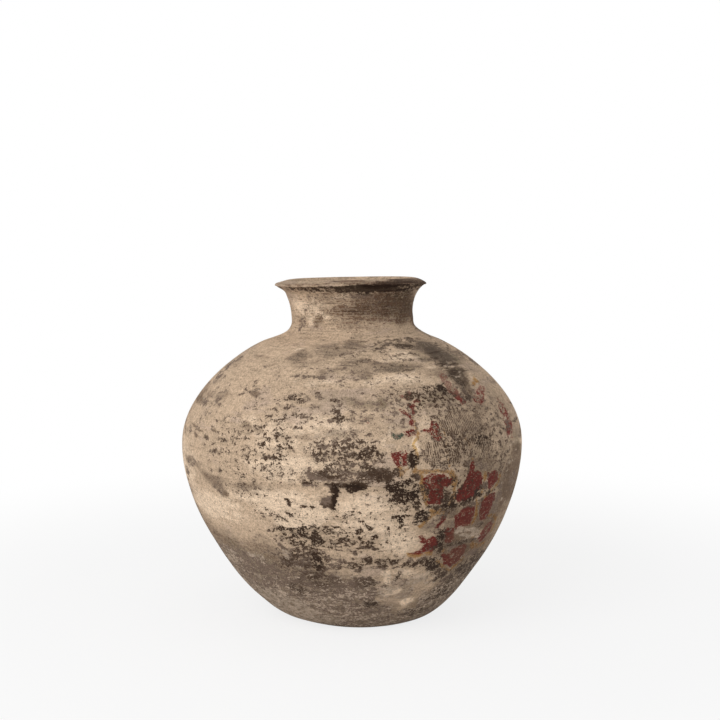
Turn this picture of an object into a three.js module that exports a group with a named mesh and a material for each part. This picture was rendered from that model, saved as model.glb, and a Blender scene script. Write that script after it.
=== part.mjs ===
// A round-bodied earthenware jar with a flat foot, a short waisted neck and an out-turned lip.
// Millimetres, +Z up. The origin is on the ground, under the middle of the belly.
// It is made of the pieces that a potter joins: a foot slab, a lower bowl, a shoulder dome turned upside
// down on it, a neck collar and a lip. Their edges meet at seams filled with a film of slip, and a coil
// of clay is pressed into the inside of the three seams that carry the wall.
import * as THREE from "three";

// Outline: radii of the outer surface, and heights from the ground or down from the crest of the lip
const jarHeight = 274.5;
const footRadius = 62;
const bellyRadius = 140;
const bellyHeight = 141;
const shoulderRadius = 71;
const waistRadius = 49.7;
const lipRadius = 62.2;
const crestRadius = 52;
const crestToLip = 5;
const lipToWaist = 29.5;
const waistToShoulder = 16;
const lipHeight = jarHeight - crestToLip;
const waistHeight = lipHeight - lipToWaist;
const shoulderHeight = waistHeight - waistToShoulder;

// How far each curve runs on before it bends, which sets how full the outline is
const footRunOut = 20;
const footRise = 5.6;
const lowerFullness = 63;
const upperFullness = 44;
const shoulderFullness = 16.5;
const shoulderSlope = THREE.MathUtils.degToRad(20.5);
const neckRootReach = 6;
const waistDrop = 9.4;
const waistRise = 13.4;
const lipReach = 8.5;
const lipUndercut = 0.6;
const lipEdgeHeight = 2;
const lipEdgeInset = 1;
const lipTopReach = 3;
const mouthReach = 3;

// Clay
const wallThickness = 7;
const slabThickness = 9;
const slipFilm = 0.4;
const coilClearance = 0.3;

// Seams: how far each lies from the widest or narrowest place near it, and how far its inner edge is stepped
const bellySeamDrop = 13;
const bellySeamSlope = 7;
const neckSeamRise = 8;
const neckSeamSlope = 5;
const lipSeamDrop = 10.5;
const lipSeamSlope = 3;
const footSeam = sloping(slabThickness, 0);
const bellySeam = sloping(bellyHeight - bellySeamDrop, -bellySeamSlope);
const neckSeam = sloping(shoulderHeight + neckSeamRise, -neckSeamSlope);
const lipSeam = sloping(lipHeight - lipSeamDrop, lipSeamSlope);

// Coils pressed into the inside of the seams: how far they reach along the wall and how thick they are
const footCoilRise = 15;
const footCoilReach = 16;
const footCoilHollow = 3;
const bellyCoilReach = 14;
const bellyCoilBulge = 4;
const neckCoilReach = 9;
const neckCoilBulge = 2.5;

// The jar sat unevenly while it dried, so the foot and the neck stand a little to one side of the belly
const footSway = 4;
const neckSway = 0.7;

// Faces round the jar, and how closely straight edges follow a curve
const facesRound = 48;
const curveSamples = 60;
const curveError = 0.18;

// A seam's heights on the outer and on the inner surface: a sloping seam is a scarf joint.
function sloping(height, step) {
  return { outside: height, inside: height + step };
}

// The outer surface from the edge of the foot up to the underside of the lip.
function outerSurface() {
  const path = new THREE.Path();
  path.moveTo(footRadius, 0);
  path.bezierCurveTo(
    footRadius + footRunOut,
    footRise,
    bellyRadius,
    bellyHeight - lowerFullness,
    bellyRadius,
    bellyHeight,
  );
  path.bezierCurveTo(
    bellyRadius,
    bellyHeight + upperFullness,
    shoulderRadius + shoulderFullness * Math.cos(shoulderSlope),
    shoulderHeight - shoulderFullness * Math.sin(shoulderSlope),
    shoulderRadius,
    shoulderHeight,
  );
  path.bezierCurveTo(
    shoulderRadius - neckRootReach * Math.cos(shoulderSlope),
    shoulderHeight + neckRootReach * Math.sin(shoulderSlope),
    waistRadius,
    waistHeight - waistDrop,
    waistRadius,
    waistHeight,
  );
  path.bezierCurveTo(
    waistRadius,
    waistHeight + waistRise,
    lipRadius - lipReach,
    lipHeight - lipEdgeHeight - lipUndercut,
    lipRadius - lipEdgeInset,
    lipHeight - lipEdgeHeight,
  );
  return path;
}

const surface = outerSurface();

// A point of the wall, a share of the way up the outer surface and some depth in from it.
function wallPoint(share, depth) {
  const point = surface.getPoint(share);
  const along = surface.getTangent(share);
  return new THREE.Vector2(
    point.x - depth * along.y,
    point.y + depth * along.x,
  );
}

// The share of the way up at which the wall, at some depth, reaches a height.
function shareAt(height, depth) {
  let low = 0;
  let high = 1;
  for (let halving = 0; halving < 40; halving++) {
    const middle = (low + high) / 2;
    if (wallPoint(middle, depth).y < height) low = middle;
    else high = middle;
  }
  return (low + high) / 2;
}

// The fewest of a line's points that keep every one of them within the curve error.
function thinned(points) {
  const first = points[0];
  const last = points[points.length - 1];
  const chord = last.clone().sub(first);
  const offsets = points.map(
    (point) => Math.abs(chord.cross(point.clone().sub(first))) / chord.length(),
  );
  const most = Math.max(...offsets);
  if (most < curveError) return [first, last];
  const bend = offsets.indexOf(most);
  return [...thinned(points.slice(0, bend + 1)), ...thinned(points.slice(bend)).slice(1)];
}

// Points up the wall between two heights, at a depth that may bulge by some more in the middle.
function wallRun(fromHeight, toHeight, depth, bulge = 0) {
  const from = shareAt(fromHeight, depth);
  const to = shareAt(toHeight, depth);
  const points = [];
  for (let sample = 0; sample <= curveSamples; sample++) {
    const part = sample / curveSamples;
    const deeper = bulge * Math.sin(Math.PI * part);
    points.push(wallPoint(THREE.MathUtils.lerp(from, to, part), depth + deeper));
  }
  return thinned(points);
}

// A ring or disc turned from its cross-section, whose points run anticlockwise from the outer side.
function turned(section) {
  return new THREE.LatheGeometry(section, facesRound).rotateX(Math.PI / 2);
}

function closed(section) {
  return [...section, section[0].clone()];
}

function wallRing(lowSeam, highSeam) {
  const film = slipFilm / 2;
  const outside = wallRun(lowSeam.outside + film, highSeam.outside - film, 0);
  const inside = wallRun(lowSeam.inside + film, highSeam.inside - film, wallThickness);
  return turned(closed([...outside, ...inside.reverse()]));
}

function footSlab() {
  const top = slabThickness - slipFilm / 2;
  return turned([
    new THREE.Vector2(0, 0),
    ...wallRun(0, top, 0),
    new THREE.Vector2(0, top),
  ]);
}

// The lip turns out over its rounded edge, up to the crest and down into the mouth.
function lipRing() {
  const film = slipFilm / 2;
  const outside = wallRun(lipSeam.outside + film, lipHeight - lipEdgeHeight, 0);
  const mouth = shareAt(lipSeam.inside + film, wallThickness);
  const throat = wallPoint(mouth, wallThickness);
  const over = new THREE.Path();
  over.moveTo(lipRadius - lipEdgeInset, lipHeight - lipEdgeHeight);
  over.quadraticCurveTo(lipRadius, lipHeight - lipEdgeHeight, lipRadius, lipHeight);
  over.bezierCurveTo(
    lipRadius,
    lipHeight + lipEdgeHeight,
    crestRadius + lipTopReach,
    jarHeight,
    crestRadius,
    jarHeight,
  );
  over.bezierCurveTo(
    crestRadius - mouthReach,
    jarHeight,
    throat.x,
    throat.y + wallThickness,
    throat.x,
    throat.y,
  );
  return turned(closed([...outside, ...thinned(over.getPoints(curveSamples)).slice(1)]));
}

// The fillet of clay in the corner between the slab and the bowl.
function footCoil() {
  const depth = wallThickness + coilClearance;
  const bottom = slabThickness + coilClearance;
  const seat = wallRun(bottom, bottom + footCoilRise, depth);
  const heel = seat[0];
  const head = seat[seat.length - 1];
  const hollow = new THREE.QuadraticBezierCurve(
    head,
    new THREE.Vector2(heel.x - footCoilHollow, bottom + footCoilHollow),
    new THREE.Vector2(heel.x - footCoilReach, bottom),
  );
  return turned(closed([...seat, ...thinned(hollow.getPoints(curveSamples)).slice(1)]));
}

// A strap of clay over the inside of a seam, thickest in the middle.
function seamCoil(seam, reach, bulge) {
  const depth = wallThickness + coilClearance;
  const from = seam.inside - reach;
  const to = seam.inside + reach;
  const seat = wallRun(from, to, depth);
  const free = wallRun(from, to, depth, bulge);
  return turned(closed([...seat, ...free.reverse().slice(1, -1)]));
}

// How far to one side the jar stands at a height.
function sway(height) {
  const belowBelly = Math.max(0, 1 - height / bellyHeight);
  const upNeck = THREE.MathUtils.smoothstep(height, shoulderHeight, waistHeight);
  return footSway * belowBelly ** 2 + neckSway * upNeck;
}

function settled(geometry) {
  const position = geometry.attributes.position;
  for (let i = 0; i < position.count; i++) {
    position.setX(i, position.getX(i) + sway(position.getZ(i)));
  }
  geometry.computeVertexNormals();
  return geometry;
}

const jar = new THREE.Group();

function add(name, geometry, color, roughness) {
  const material = new THREE.MeshStandardMaterial({ color, roughness, metalness: 0 });
  const mesh = new THREE.Mesh(settled(geometry), material);
  mesh.name = name;
  jar.add(mesh);
}

add("foot_slab", footSlab(), 0x5d4f43, 0.95);
add("foot_joint_coil", footCoil(), 0x7a6857, 0.95);
add("lower_bowl", wallRing(footSeam, bellySeam), 0x8f7a66, 0.9);
add("belly_joint_coil", seamCoil(bellySeam, bellyCoilReach, bellyCoilBulge), 0x7a6857, 0.95);
add("shoulder_dome", wallRing(bellySeam, neckSeam), 0xab9279, 0.9);
add("neck_joint_coil", seamCoil(neckSeam, neckCoilReach, neckCoilBulge), 0x7a6857, 0.95);
add("neck_collar", wallRing(neckSeam, lipSeam), 0x9c836b, 0.9);
add("lip", lipRing(), 0xa88c72, 0.9);

export default jar;
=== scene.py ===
"""A worn, round-bodied earthenware jar with traces of painted panels, standing on a pale floor."""

import itertools
import math

import bpy
import numpy as np
from mathutils import Matrix, Vector


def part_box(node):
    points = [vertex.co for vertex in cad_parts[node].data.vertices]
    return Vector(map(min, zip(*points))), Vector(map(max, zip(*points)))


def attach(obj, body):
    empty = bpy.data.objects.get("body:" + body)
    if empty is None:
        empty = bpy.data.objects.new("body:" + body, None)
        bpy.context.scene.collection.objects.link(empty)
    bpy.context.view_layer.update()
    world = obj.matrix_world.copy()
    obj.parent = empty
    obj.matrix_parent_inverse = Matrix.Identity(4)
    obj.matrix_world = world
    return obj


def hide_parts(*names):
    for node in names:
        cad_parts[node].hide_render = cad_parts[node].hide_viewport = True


bl_info = {
    "name": "Painted earthenware jar",
    "version": (1, 0, 0),
    "blender": (4, 5, 0),
    "location": "3D View > Sidebar > Jar",
    "description": "Builds a worn earthenware jar, its slip, flaking and painted panels, and its stage",
    "category": "Object",
}

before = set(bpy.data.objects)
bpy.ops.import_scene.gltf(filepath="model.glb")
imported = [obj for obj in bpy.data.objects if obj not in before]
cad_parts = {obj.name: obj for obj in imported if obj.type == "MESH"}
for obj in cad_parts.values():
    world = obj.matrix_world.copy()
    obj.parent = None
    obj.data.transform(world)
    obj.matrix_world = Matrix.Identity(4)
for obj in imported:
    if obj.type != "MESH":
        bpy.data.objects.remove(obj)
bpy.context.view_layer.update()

MM = 0.001
BODY = "root"
JAR_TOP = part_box("lip")[1].z
FOOT_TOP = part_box("foot_slab")[1].z

# How far the inner edge of each seam is stepped from the outer one
BELLY_STEP = -7 * MM
NECK_STEP = -5 * MM
LIP_STEP = 3 * MM

# Marks on the surface. Angles run round the jar in degrees from the front (-Y) towards +X, heights are
# in millimetres from the ground. A soft mark is (angle, height, half its width in degrees, half its
# height in millimetres, strength in percent). Where marks overlap, the strongest counts.

# Where the slip has flaked off
BARE = (
    # broad stretches, more or less flaked
    (-36, 160, 10, 34, 28), (-24, 160, 11, 34, 34), (-24, 142, 9, 16, 38), (-4, 180, 14, 12, 36),
    (-2, 152, 12, 15, 62), (16, 180, 14, 20, 36), (38, 164, 13, 26, 54), (0, 204, 30, 8, 30),
    (10, 222, 34, 6, 30), (-5, 88, 12, 12, 42), (-8, 106, 20, 10, 24), (14, 92, 7, 20, 28),
    (54, 150, 10, 40, 38), (-46, 150, 10, 28, 25), (-34, 122, 8, 8, 38), (28, 150, 8, 14, 50),
    (22, 190, 6, 5, 50), (30, 190, 7, 7, 50), (37, 184, 6, 8, 50), (46, 188, 4, 12, 50),
    (32, 122, 14, 16, 40), (15, 122, 7, 14, 50), (-6, 136, 11, 7, 76), (-8, 133, 10, 3, 62),
    (2, 220, 10, 5, 36), (22, 214, 14, 5, 30), (37, 109, 9, 5, 62), (30, 108, 4, 9, 66),
    (41, 75, 10, 3, 66), (31, 82, 2.4, 12, 62), (15, 122, 6, 12, 70), (8, 65, 14, 6, 46),
    (24, 64, 9, 6, 52), (-8, 68, 8, 7, 50), (-20, 72, 12, 10, 58), (-16, 90, 12, 9, 40),
    (0, 92, 11, 9, 30), (20, 48, 10, 9, 48), (12, 40, 8, 8, 50), (-18, 52, 14, 12, 62),
    (36, 50, 10, 8, 52), (-26, 105, 8, 4, 40),
    # on the neck
    (-52, 240, 5, 5, 46), (-46, 250, 6, 3, 40), (-56, 236, 4, 2, 50), (-30, 262, 16, 3, 30),
    (4, 262, 14, 4, 42),
    # between the marks of the paddle
    (25, 144, 0.7, 4, 80), (27.6, 151, 0.8, 5, 76), (31, 143.6, 0.8, 4, 75), (33.6, 146, 0.9, 5, 82),
    (36.4, 151, 0.8, 5, 80), (39.6, 146, 0.8, 5, 76), (23.4, 155, 0.6, 3, 70), (29.6, 157, 0.6, 3, 66),
    (35, 159, 0.6, 3, 66),
    # left of the front
    (-23.5, 190, 3, 3, 72), (-21, 192, 4, 1.5, 60), (-13, 192.5, 3, 2, 60), (-17, 188, 4, 2, 45),
    (-26.5, 185, 1.5, 4, 50), (-22, 184, 2.5, 3, 50), (-17, 178, 5, 2, 50), (-14, 178, 2, 2, 60),
    (-27.5, 177, 2, 1.5, 55), (-22, 174, 1.5, 4, 55), (-17, 170, 2.5, 2, 55), (-22.5, 163, 4, 2.5, 62),
    (-29, 157, 1.8, 2.5, 75), (-25.5, 148, 3.5, 2.8, 72), (-20, 147, 3, 2, 50), (-28, 140, 1.5, 4, 55),
    (-23, 136, 2.5, 4, 55), (-18, 137, 2, 3, 50), (-30, 164.5, 2.5, 1.5, 55), (-33, 204, 3, 1.2, 45),
    (-22, 203.5, 5, 1.6, 50), (-35, 194, 5, 1, 42), (-41, 158, 1, 1, 55), (-48, 147, 3, 1.6, 50),
    (-54, 156, 1.8, 1.8, 60), (-51, 163.5, 2.6, 1.4, 50), (-39, 149, 2.5, 1, 45),
    (-35, 181, 2, 1.2, 42), (-39, 184.5, 1.2, 1, 50), (-45, 141, 3, 1, 40), (-48, 121, 5, 7, 42),
    (-62, 134, 7, 4, 34), (-60, 182, 9, 14, 36), (-40, 192, 9, 6, 30), (-37, 134, 3, 1.5, 42),
    (-31, 130, 2, 2, 45),
    # over the break and round to the right
    (-12, 203.5, 3, 2, 55), (-4, 203.5, 2, 1.2, 50), (-7, 208, 4, 1.5, 40), (-6, 188, 3.2, 1.4, 60),
    (-5, 181, 1.2, 2.2, 60), (-4.5, 176.5, 2.2, 2.8, 66), (-9.5, 181, 1.5, 1, 50), (-1, 175, 2, 1, 40),
    (-4, 168, 5.5, 1.6, 55), (0, 164.5, 2.5, 3, 62), (5, 164, 2, 3, 45), (-8, 157, 4, 3, 60),
    (-12, 152, 3, 3, 50), (0, 153, 3, 3.4, 66), (3, 150, 2.5, 4, 60), (6.5, 154, 2.4, 2.6, 68),
    (9, 150.5, 1, 3, 60), (6, 147, 3, 1.5, 50), (-9, 147, 3, 2, 50), (-7, 138.5, 4.5, 4.2, 72),
    (-12.5, 139, 2.5, 3.4, 55), (5, 142.5, 3, 1.6, 90), (7, 137, 5, 5.4, 100), (11.5, 137, 3, 4, 78),
    (3, 131, 3, 2, 80), (12, 129, 4, 6, 68), (16, 124, 5, 9, 70), (18.5, 133.5, 2.6, 4, 64),
    (19.3, 121, 1.8, 6, 66), (13, 117, 3, 4, 62), (19.5, 114, 2, 6, 72), (17.8, 146, 2, 6, 95),
    (22, 150, 2, 8, 50), (25.5, 149, 3, 7, 50), (29, 188, 2, 6, 50), (25, 195, 5, 1.4, 65),
    (30, 196, 3, 1.2, 60), (35.5, 192, 2.4, 4.5, 85), (33, 186, 2, 3, 60), (42, 162, 4, 5, 62),
    (45, 153, 5, 7, 76), (36.5, 147, 2.5, 8, 42), (33, 140, 2, 5, 50), (28, 141, 2, 3, 60),
    # under the break
    (-20.2, 115.5, 0.7, 3.4, 80), (-21, 117, 1, 1, 70), (-15, 113, 1.2, 1.3, 75),
    (-12, 111.5, 0.8, 2.4, 75), (-20.4, 106, 1.2, 2.2, 80), (-24.4, 103.5, 1.4, 1.2, 65),
    (-26, 107, 1.2, 1.2, 60), (-30.6, 105, 1.2, 2, 70), (-30, 101.5, 0.8, 1, 60),
    (-22.5, 101.5, 2, 1, 60), (-18, 102, 1, 1, 60), (-16, 100.5, 1, 1, 60), (-5.2, 106, 0.6, 1.2, 65),
    (-2.4, 101.6, 1.6, 1.2, 70), (2.4, 102.2, 1.2, 1.3, 85), (0.7, 112, 0.7, 1, 80),
    (1.8, 109.5, 0.6, 1.6, 75), (4.2, 115.5, 0.7, 1.2, 80), (6.8, 104.5, 0.5, 0.8, 70),
    (14, 104.4, 3.2, 1.1, 90), (15, 101.5, 0.9, 3.5, 95), (15.3, 96.5, 0.6, 3, 85),
    (17.2, 92.5, 0.6, 2.6, 70), (12.2, 102, 1, 1, 60),
    # a ladder of small flakes below it
    (-13.4, 98.4, 1.6, 1, 75), (-12, 95.5, 2.4, 1.2, 70), (-9, 97.8, 1.4, 1, 70),
    (-5.4, 97.6, 2, 1, 75), (-3.6, 95.8, 0.8, 2.4, 80), (-1, 96.8, 1, 1.2, 60),
    (1, 94.2, 0.8, 2.6, 80), (2.8, 95, 0.8, 1.8, 70), (1.2, 91.8, 1.6, 0.8, 70),
    (4.8, 97.6, 0.9, 1.4, 85), (5.8, 95.6, 1, 1.4, 85), (10.8, 95.6, 0.7, 1.6, 80),
    (11.2, 92.4, 0.6, 1.6, 80), (12.4, 93.6, 0.8, 0.8, 60), (3.4, 90.2, 1.6, 0.8, 75),
    (6.6, 89.6, 1.8, 1, 85), (7.4, 87.4, 0.6, 1.4, 70), (-3.4, 87.8, 1.6, 0.9, 85),
    (-1.6, 86.2, 1.6, 1, 85), (-4, 85.2, 1, 1, 70), (-2.8, 82, 1.2, 1.4, 90), (2, 88, 0.8, 2, 90),
    (2.6, 84.4, 1, 2, 90), (4.6, 83.6, 1.4, 1.6, 80), (4, 80.6, 1.6, 1.4, 90), (1.6, 79, 1.8, 0.8, 75),
    (6.2, 79, 0.5, 1.8, 70), (0.3, 75.4, 0.8, 2.4, 85), (-5.6, 78.4, 2, 1, 70),
    (-0.6, 81.4, 0.8, 0.8, 60), (8.7, 82, 0.5, 1.1, 90), (11, 84, 0.4, 1.6, 80),
    (-6.6, 83.6, 1.6, 1, 70), (-7.6, 86.6, 1.2, 1, 70), (-6.4, 89.6, 1.2, 1, 60),
    # brushed away at the lower left
    (-28.6, 91, 1.6, 1.6, 75), (-24.6, 95, 2.4, 2.4, 80), (-20, 94.6, 2, 2.6, 70),
    (-16, 94.8, 2, 3.2, 82), (-17.6, 89, 6, 6, 60), (-24, 88, 3.4, 5, 56), (-12.6, 87.4, 2.6, 5.4, 92),
    (-20, 82, 5, 4.6, 60), (-14.4, 79, 3.4, 4.4, 66), (-25, 78, 3.4, 6, 55), (-10.6, 76.5, 1, 3, 75),
    (-13.6, 70.5, 2.4, 3.4, 95), (-17, 73, 3, 4, 66), (-24, 70, 3.4, 3.4, 72),
    (-19.6, 65.5, 5, 4.6, 94), (-25.6, 64, 4, 3.4, 72), (-12.6, 62.5, 2.4, 3.4, 100),
    (-8, 65, 3, 3, 60), (-5.2, 65.5, 1.2, 3, 75), (-19, 57, 3.6, 3.4, 72), (-14.6, 55.5, 2, 4.4, 85),
    (-22.4, 48, 5, 6, 80), (-8, 53, 3.4, 4.4, 80), (-15, 46, 6, 5, 70), (-24, 38, 4.4, 5, 80),
    (-30, 52, 5, 8, 60), (-6, 59, 2, 2, 60),
    # below the front and round to the right
    (4.6, 69, 1.6, 3.4, 82), (-0.6, 63, 3, 1, 66), (2, 61, 2, 1.4, 66), (8.4, 64, 1.2, 3.4, 78),
    (10.2, 61.6, 1.4, 2.4, 72), (11, 66.6, 1.4, 1.2, 60), (14.4, 64.8, 1.6, 3.4, 78),
    (16.4, 67.4, 2.4, 1.4, 66), (15, 70.4, 0.6, 1.2, 70), (20.6, 67, 2, 3, 70), (23, 64.6, 2, 3.4, 78),
    (24.4, 67.6, 1.6, 1, 70), (26.4, 66, 3.6, 3.4, 78), (29, 62, 3, 4, 84), (31.4, 57.6, 3.4, 4.4, 85),
    (35, 53.4, 2.6, 3, 84), (30.4, 50.6, 2, 1.4, 70), (38.6, 48.6, 3, 4, 80), (43, 44.6, 3.4, 3, 80),
    (49, 50, 6, 6, 70), (56, 52, 6, 6, 60), (17.4, 56.6, 1.4, 3, 72), (16.6, 51.6, 0.8, 2.4, 66),
    (13.6, 54.6, 0.8, 0.8, 60), (2.6, 51.4, 5, 3.6, 84), (5, 47, 5, 4.4, 80), (11.6, 46.4, 2, 1.4, 80),
    (-1.6, 48, 3, 3.4, 90), (7, 38, 3.4, 6, 82), (7.6, 29.4, 4, 2.6, 95), (11, 27, 2, 1.4, 80),
    (28, 50, 1.4, 4, 80), (36, 47, 1.6, 5, 85), (41, 43, 3, 2.4, 85), (36, 27, 4, 3, 95),
    (24, 39, 3, 5, 50), (33, 34, 3, 4, 50), (30, 16, 10, 4, 75), (46, 30, 7, 10, 80),
    (13, 20, 7, 3, 60), (12, 24, 5, 5, 70), (0, 20, 14, 9, 62), (14, 12, 10, 8, 70),
    # dark ground between and beside the painted panels
    (29.8, 86, 1.5, 4.4, 82), (30.6, 78.6, 1.5, 4.4, 82), (28, 76, 2, 2, 70), (26, 76, 0.8, 3, 60),
    (22, 104, 2.6, 5.4, 75), (27, 95, 3, 7, 50), (20.4, 99.4, 1, 2, 70), (26, 110, 3, 2, 70),
    (29, 115, 1.4, 6, 80), (43.6, 113.6, 1.6, 3, 80), (45.8, 104, 0.8, 8, 60), (44, 122, 0.8, 4, 50),
    (48.6, 84, 2, 4, 50), (34.4, 76, 1.4, 3, 60), (33.4, 104, 1.6, 6, 50), (24, 110, 1.6, 2, 75),
    (27, 109, 1.4, 2.6, 80), (30, 113, 1.1, 5, 80), (32.6, 108, 1.6, 3, 85),
    (36.6, 108.2, 1.8, 1.6, 85), (39.6, 111, 1.8, 2.4, 90), (42.2, 114.6, 1.3, 3.4, 90),
    (44.6, 119, 0.8, 3, 80), (31.4, 104, 1.2, 3.4, 70), (29, 122, 1.2, 3, 60), (30.6, 127, 1, 2, 60),
    (46.4, 118, 1.4, 6, 70), (50, 113, 3.6, 2.4, 66), (38, 74, 3, 3, 70), (43, 75.5, 3, 3, 75),
    (49, 87, 2.6, 3.4, 70), (48, 75, 4, 3, 70), (31.4, 74, 1.8, 5, 85), (27.6, 90.4, 2.4, 2, 50),
    (53, 60, 6, 7, 66), (56, 104, 3, 14, 60), (34, 93, 1, 5, 60), (44.6, 88, 1, 4, 60),
    (37, 139, 2, 4, 70), (45, 136, 4, 4, 50), (55, 136, 4, 6, 50),
)

# How high up from the foot the slip is all but gone, and how high soft dirt reaches: (angle, height)
WORN_FOOT = (
    (-180, 58), (-80, 66), (-60, 70), (-45, 70), (-34, 66), (-28, 62), (-12, 58), (-5, 54), (0, 56),
    (9, 50), (11, 28), (20, 14), (30, 18), (38, 36), (55, 60), (80, 66), (180, 52),
)
SOILED_FOOT = (
    (-180, 80), (-75, 92), (-55, 86), (-45, 80), (-30, 84), (-12, 70), (0, 58), (12, 34), (24, 22),
    (33, 34), (48, 72), (56, 110), (75, 120), (120, 96), (180, 80),
)

# Soft brown grey dirt over the slip; towards the right, partly dirt and partly painted shade darkening that
# side
VEIL_AND_SHADE = (
    # neck and lip
    (6, 273, 20, 1.6, 80), (-40, 272, 34, 3, 40), (50, 271, 44, 4, 110), (6, 262, 22, 3, 70),
    (30, 262, 30, 5, 90), (-10, 261, 36, 5, 50), (20, 261, 18, 4, 95), (-30, 257, 14, 2, 50),
    (20, 257, 26, 6, 70), (45, 257, 30, 8, 105), (6, 256, 5, 3, 70), (-16, 253, 9, 1.6, 60),
    (-26, 252, 6, 3, 60), (9, 251, 7, 4, 115), (-6, 250, 20, 5, 72), (30, 250, 26, 8, 92),
    (60, 250, 24, 12, 105), (-40, 249, 5, 3, 50), (4, 249, 24, 7, 76), (26, 249, 15, 5, 100),
    (-20, 248.6, 8, 2.4, 62), (-48, 247, 3, 1.6, 50), (90, 246, 26, 14, 105), (-31, 245, 3, 2, 70),
    (-33, 243, 7, 5, 70), (8, 243, 24, 4, 60), (-56, 241, 3, 2, 60), (-5, 240, 14, 3, 50),
    (-36, 238, 5, 2.4, 60), (-54, 237, 4, 1.6, 60), (0, 236, 26, 3, 45),
    # left
    (-55, 215, 12, 3, 42), (-40, 211.5, 6, 1.4, 50), (-39, 190.6, 4, 1.4, 74), (-66, 186, 6, 4, 50),
    (-55, 186, 7, 4, 55), (-58, 173, 6, 2, 42), (-36.5, 167, 3, 3, 62), (-31, 166, 2.6, 2.4, 66),
    (-50, 164, 2.4, 1.6, 80), (-63, 162, 8, 1.2, 90), (-62, 157, 3, 2, 80), (-54, 156, 2, 1.8, 100),
    (-48, 147.6, 2.6, 1.4, 70), (-67, 136, 6, 4, 80), (-60, 132.6, 5, 3, 70), (-54, 129, 4, 3, 62),
    (-50, 125, 6, 5, 74), (-45, 124, 6, 4, 50), (-34, 123, 9, 5, 74), (-48.2, 120, 4, 5, 78),
    (-46, 115, 2.6, 4, 86), (-34, 62, 14, 14, 75),
    # front
    (2, 224, 8, 4, 60), (-10, 221, 14, 5, 55), (-28, 217, 8, 4, 66), (-20, 214, 12, 3, 45),
    (2, 212, 8, 3.4, 60), (15, 212, 14, 3, 66), (4, 210, 5, 6, 60), (-3, 209, 7, 4, 55),
    (22, 208.4, 15, 3.4, 76), (-12, 206, 5, 4, 55), (5.5, 206, 3.4, 5, 62), (20, 190, 12, 10, 42),
    (-8, 187, 16, 8, 36), (3, 186, 8, 5, 60), (10, 186, 3, 5, 72), (1, 177, 6, 3, 45),
    (5, 170, 14, 10, 40), (-4, 167, 8, 4, 66), (-13, 164, 7, 3, 66), (-22, 162, 5, 3, 60),
    (-8, 153, 9, 7, 25), (3, 152, 7, 8, 30), (-12, 145, 12, 10, 20), (-8, 138, 8, 6, 35),
    (-6, 132.6, 10, 2, 75), (-26, 125, 8, 5, 42), (20, 82, 3, 6, 30), (22, 42, 3, 4, 55),
    (24, 34, 10, 8, 42),
    # right: partly dirt, partly painted shade that darkens this side, most by its edge
    (42, 222.4, 18, 2, 66), (48, 221, 11, 3.4, 100), (40, 216, 8, 5, 60), (52, 216, 11, 11, 115),
    (62, 215, 14, 10, 60), (62, 214, 7, 10, 60), (42, 203, 10, 7, 60), (51, 202, 8, 8, 80),
    (50, 199, 6, 8, 100), (66, 195, 10, 14, 30), (47, 190, 4, 12, 80), (48, 190, 3, 7, 95),
    (32, 189, 8, 5, 66), (34, 187, 12, 8, 60), (50, 178, 10, 10, 60), (40, 176, 12, 10, 50),
    (62, 172, 16, 26, 45), (42, 160, 12, 14, 66), (40, 150, 14, 18, 55), (44, 140, 10, 12, 70),
    (56, 140, 6, 16, 55), (70, 140, 7, 8, 85), (45, 132, 12, 10, 70), (55, 125, 7, 18, 70),
    (62, 124, 4, 7, 105), (26, 122, 6, 12, 70), (38, 120, 14, 24, 50), (69, 118, 11, 38, 78),
    (29, 113, 3, 14, 80), (63, 112, 9, 24, 90), (74, 104, 6, 10, 90), (33, 103, 4, 8, 85),
    (30, 100, 8, 12, 60), (52, 100, 7, 18, 70), (60, 100, 7, 20, 75), (26, 95, 4, 8, 60),
    (45, 95, 14, 26, 70), (36, 92, 8, 10, 75), (46, 92, 8, 22, 85), (58, 92, 5, 9, 105),
    (56, 88, 8, 26, 85), (38, 78, 12, 20, 95), (32, 76, 8, 6, 70), (62, 74, 6, 12, 70),
    (46, 66, 10, 14, 100), (56, 66, 8, 16, 80), (40, 60, 12, 12, 66), (28, 44, 8, 8, 36),
)

# Charcoal and smoke
SMOKE = (
    # neck and lip
    (-12, 273, 6, 1, 50), (34, 272.6, 20, 1.2, 75), (-22, 271, 5, 0.8, 50), (12, 270.5, 16, 1.4, 90),
    (45, 270.5, 24, 2.6, 95), (80, 270.5, 24, 3, 85), (110, 270.5, 30, 2, 60), (12, 264, 8, 1.6, 80),
    (45, 262, 20, 5, 75), (32, 258, 14, 4, 55), (20, 255.4, 14, 1, 60), (14, 251, 12, 5, 42),
    (36, 250, 16, 7, 50), (60, 250, 22, 10, 60), (-4, 248.6, 7, 2, 40), (6, 247, 12, 3, 45),
    # left
    (-66, 135.4, 6, 2.4, 40), (-48, 120, 2.6, 4, 30), (-46, 114.6, 2, 3.6, 42),
    # front
    (20, 222.4, 8, 1.4, 60), (-26, 218, 6, 1.2, 50), (3, 217, 4, 1.2, 50), (-13.6, 71, 2.4, 3, 50),
    (-20, 66, 5, 4, 35), (-13, 63, 3, 5, 50), (3, 51, 5, 4, 15), (-24, 39, 4, 4, 40),
    (14, 30, 16, 8, 25), (8, 28.6, 4, 2.4, 70), (12, 24, 5, 4, 50), (16, 12, 12, 7, 40),
    # right
    (35, 222.6, 8, 1.7, 80), (51, 214, 10, 9, 60), (46, 208, 3, 5, 78), (53, 203, 8, 6, 62),
    (48, 201, 4, 12, 85), (28, 195.4, 5, 1.4, 62), (51, 194, 4, 7, 66), (35.4, 192, 2.6, 5, 80),
    (47, 186, 3, 8, 60), (45, 152, 4, 6, 72), (66, 150, 8, 40, 25), (29, 100, 3, 6, 40),
    (74, 100, 10, 50, 30), (31, 55, 4, 5, 45), (49, 48, 5, 8, 50), (40, 47, 5, 5, 45),
    (60, 25, 16, 16, 35),
)

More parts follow.
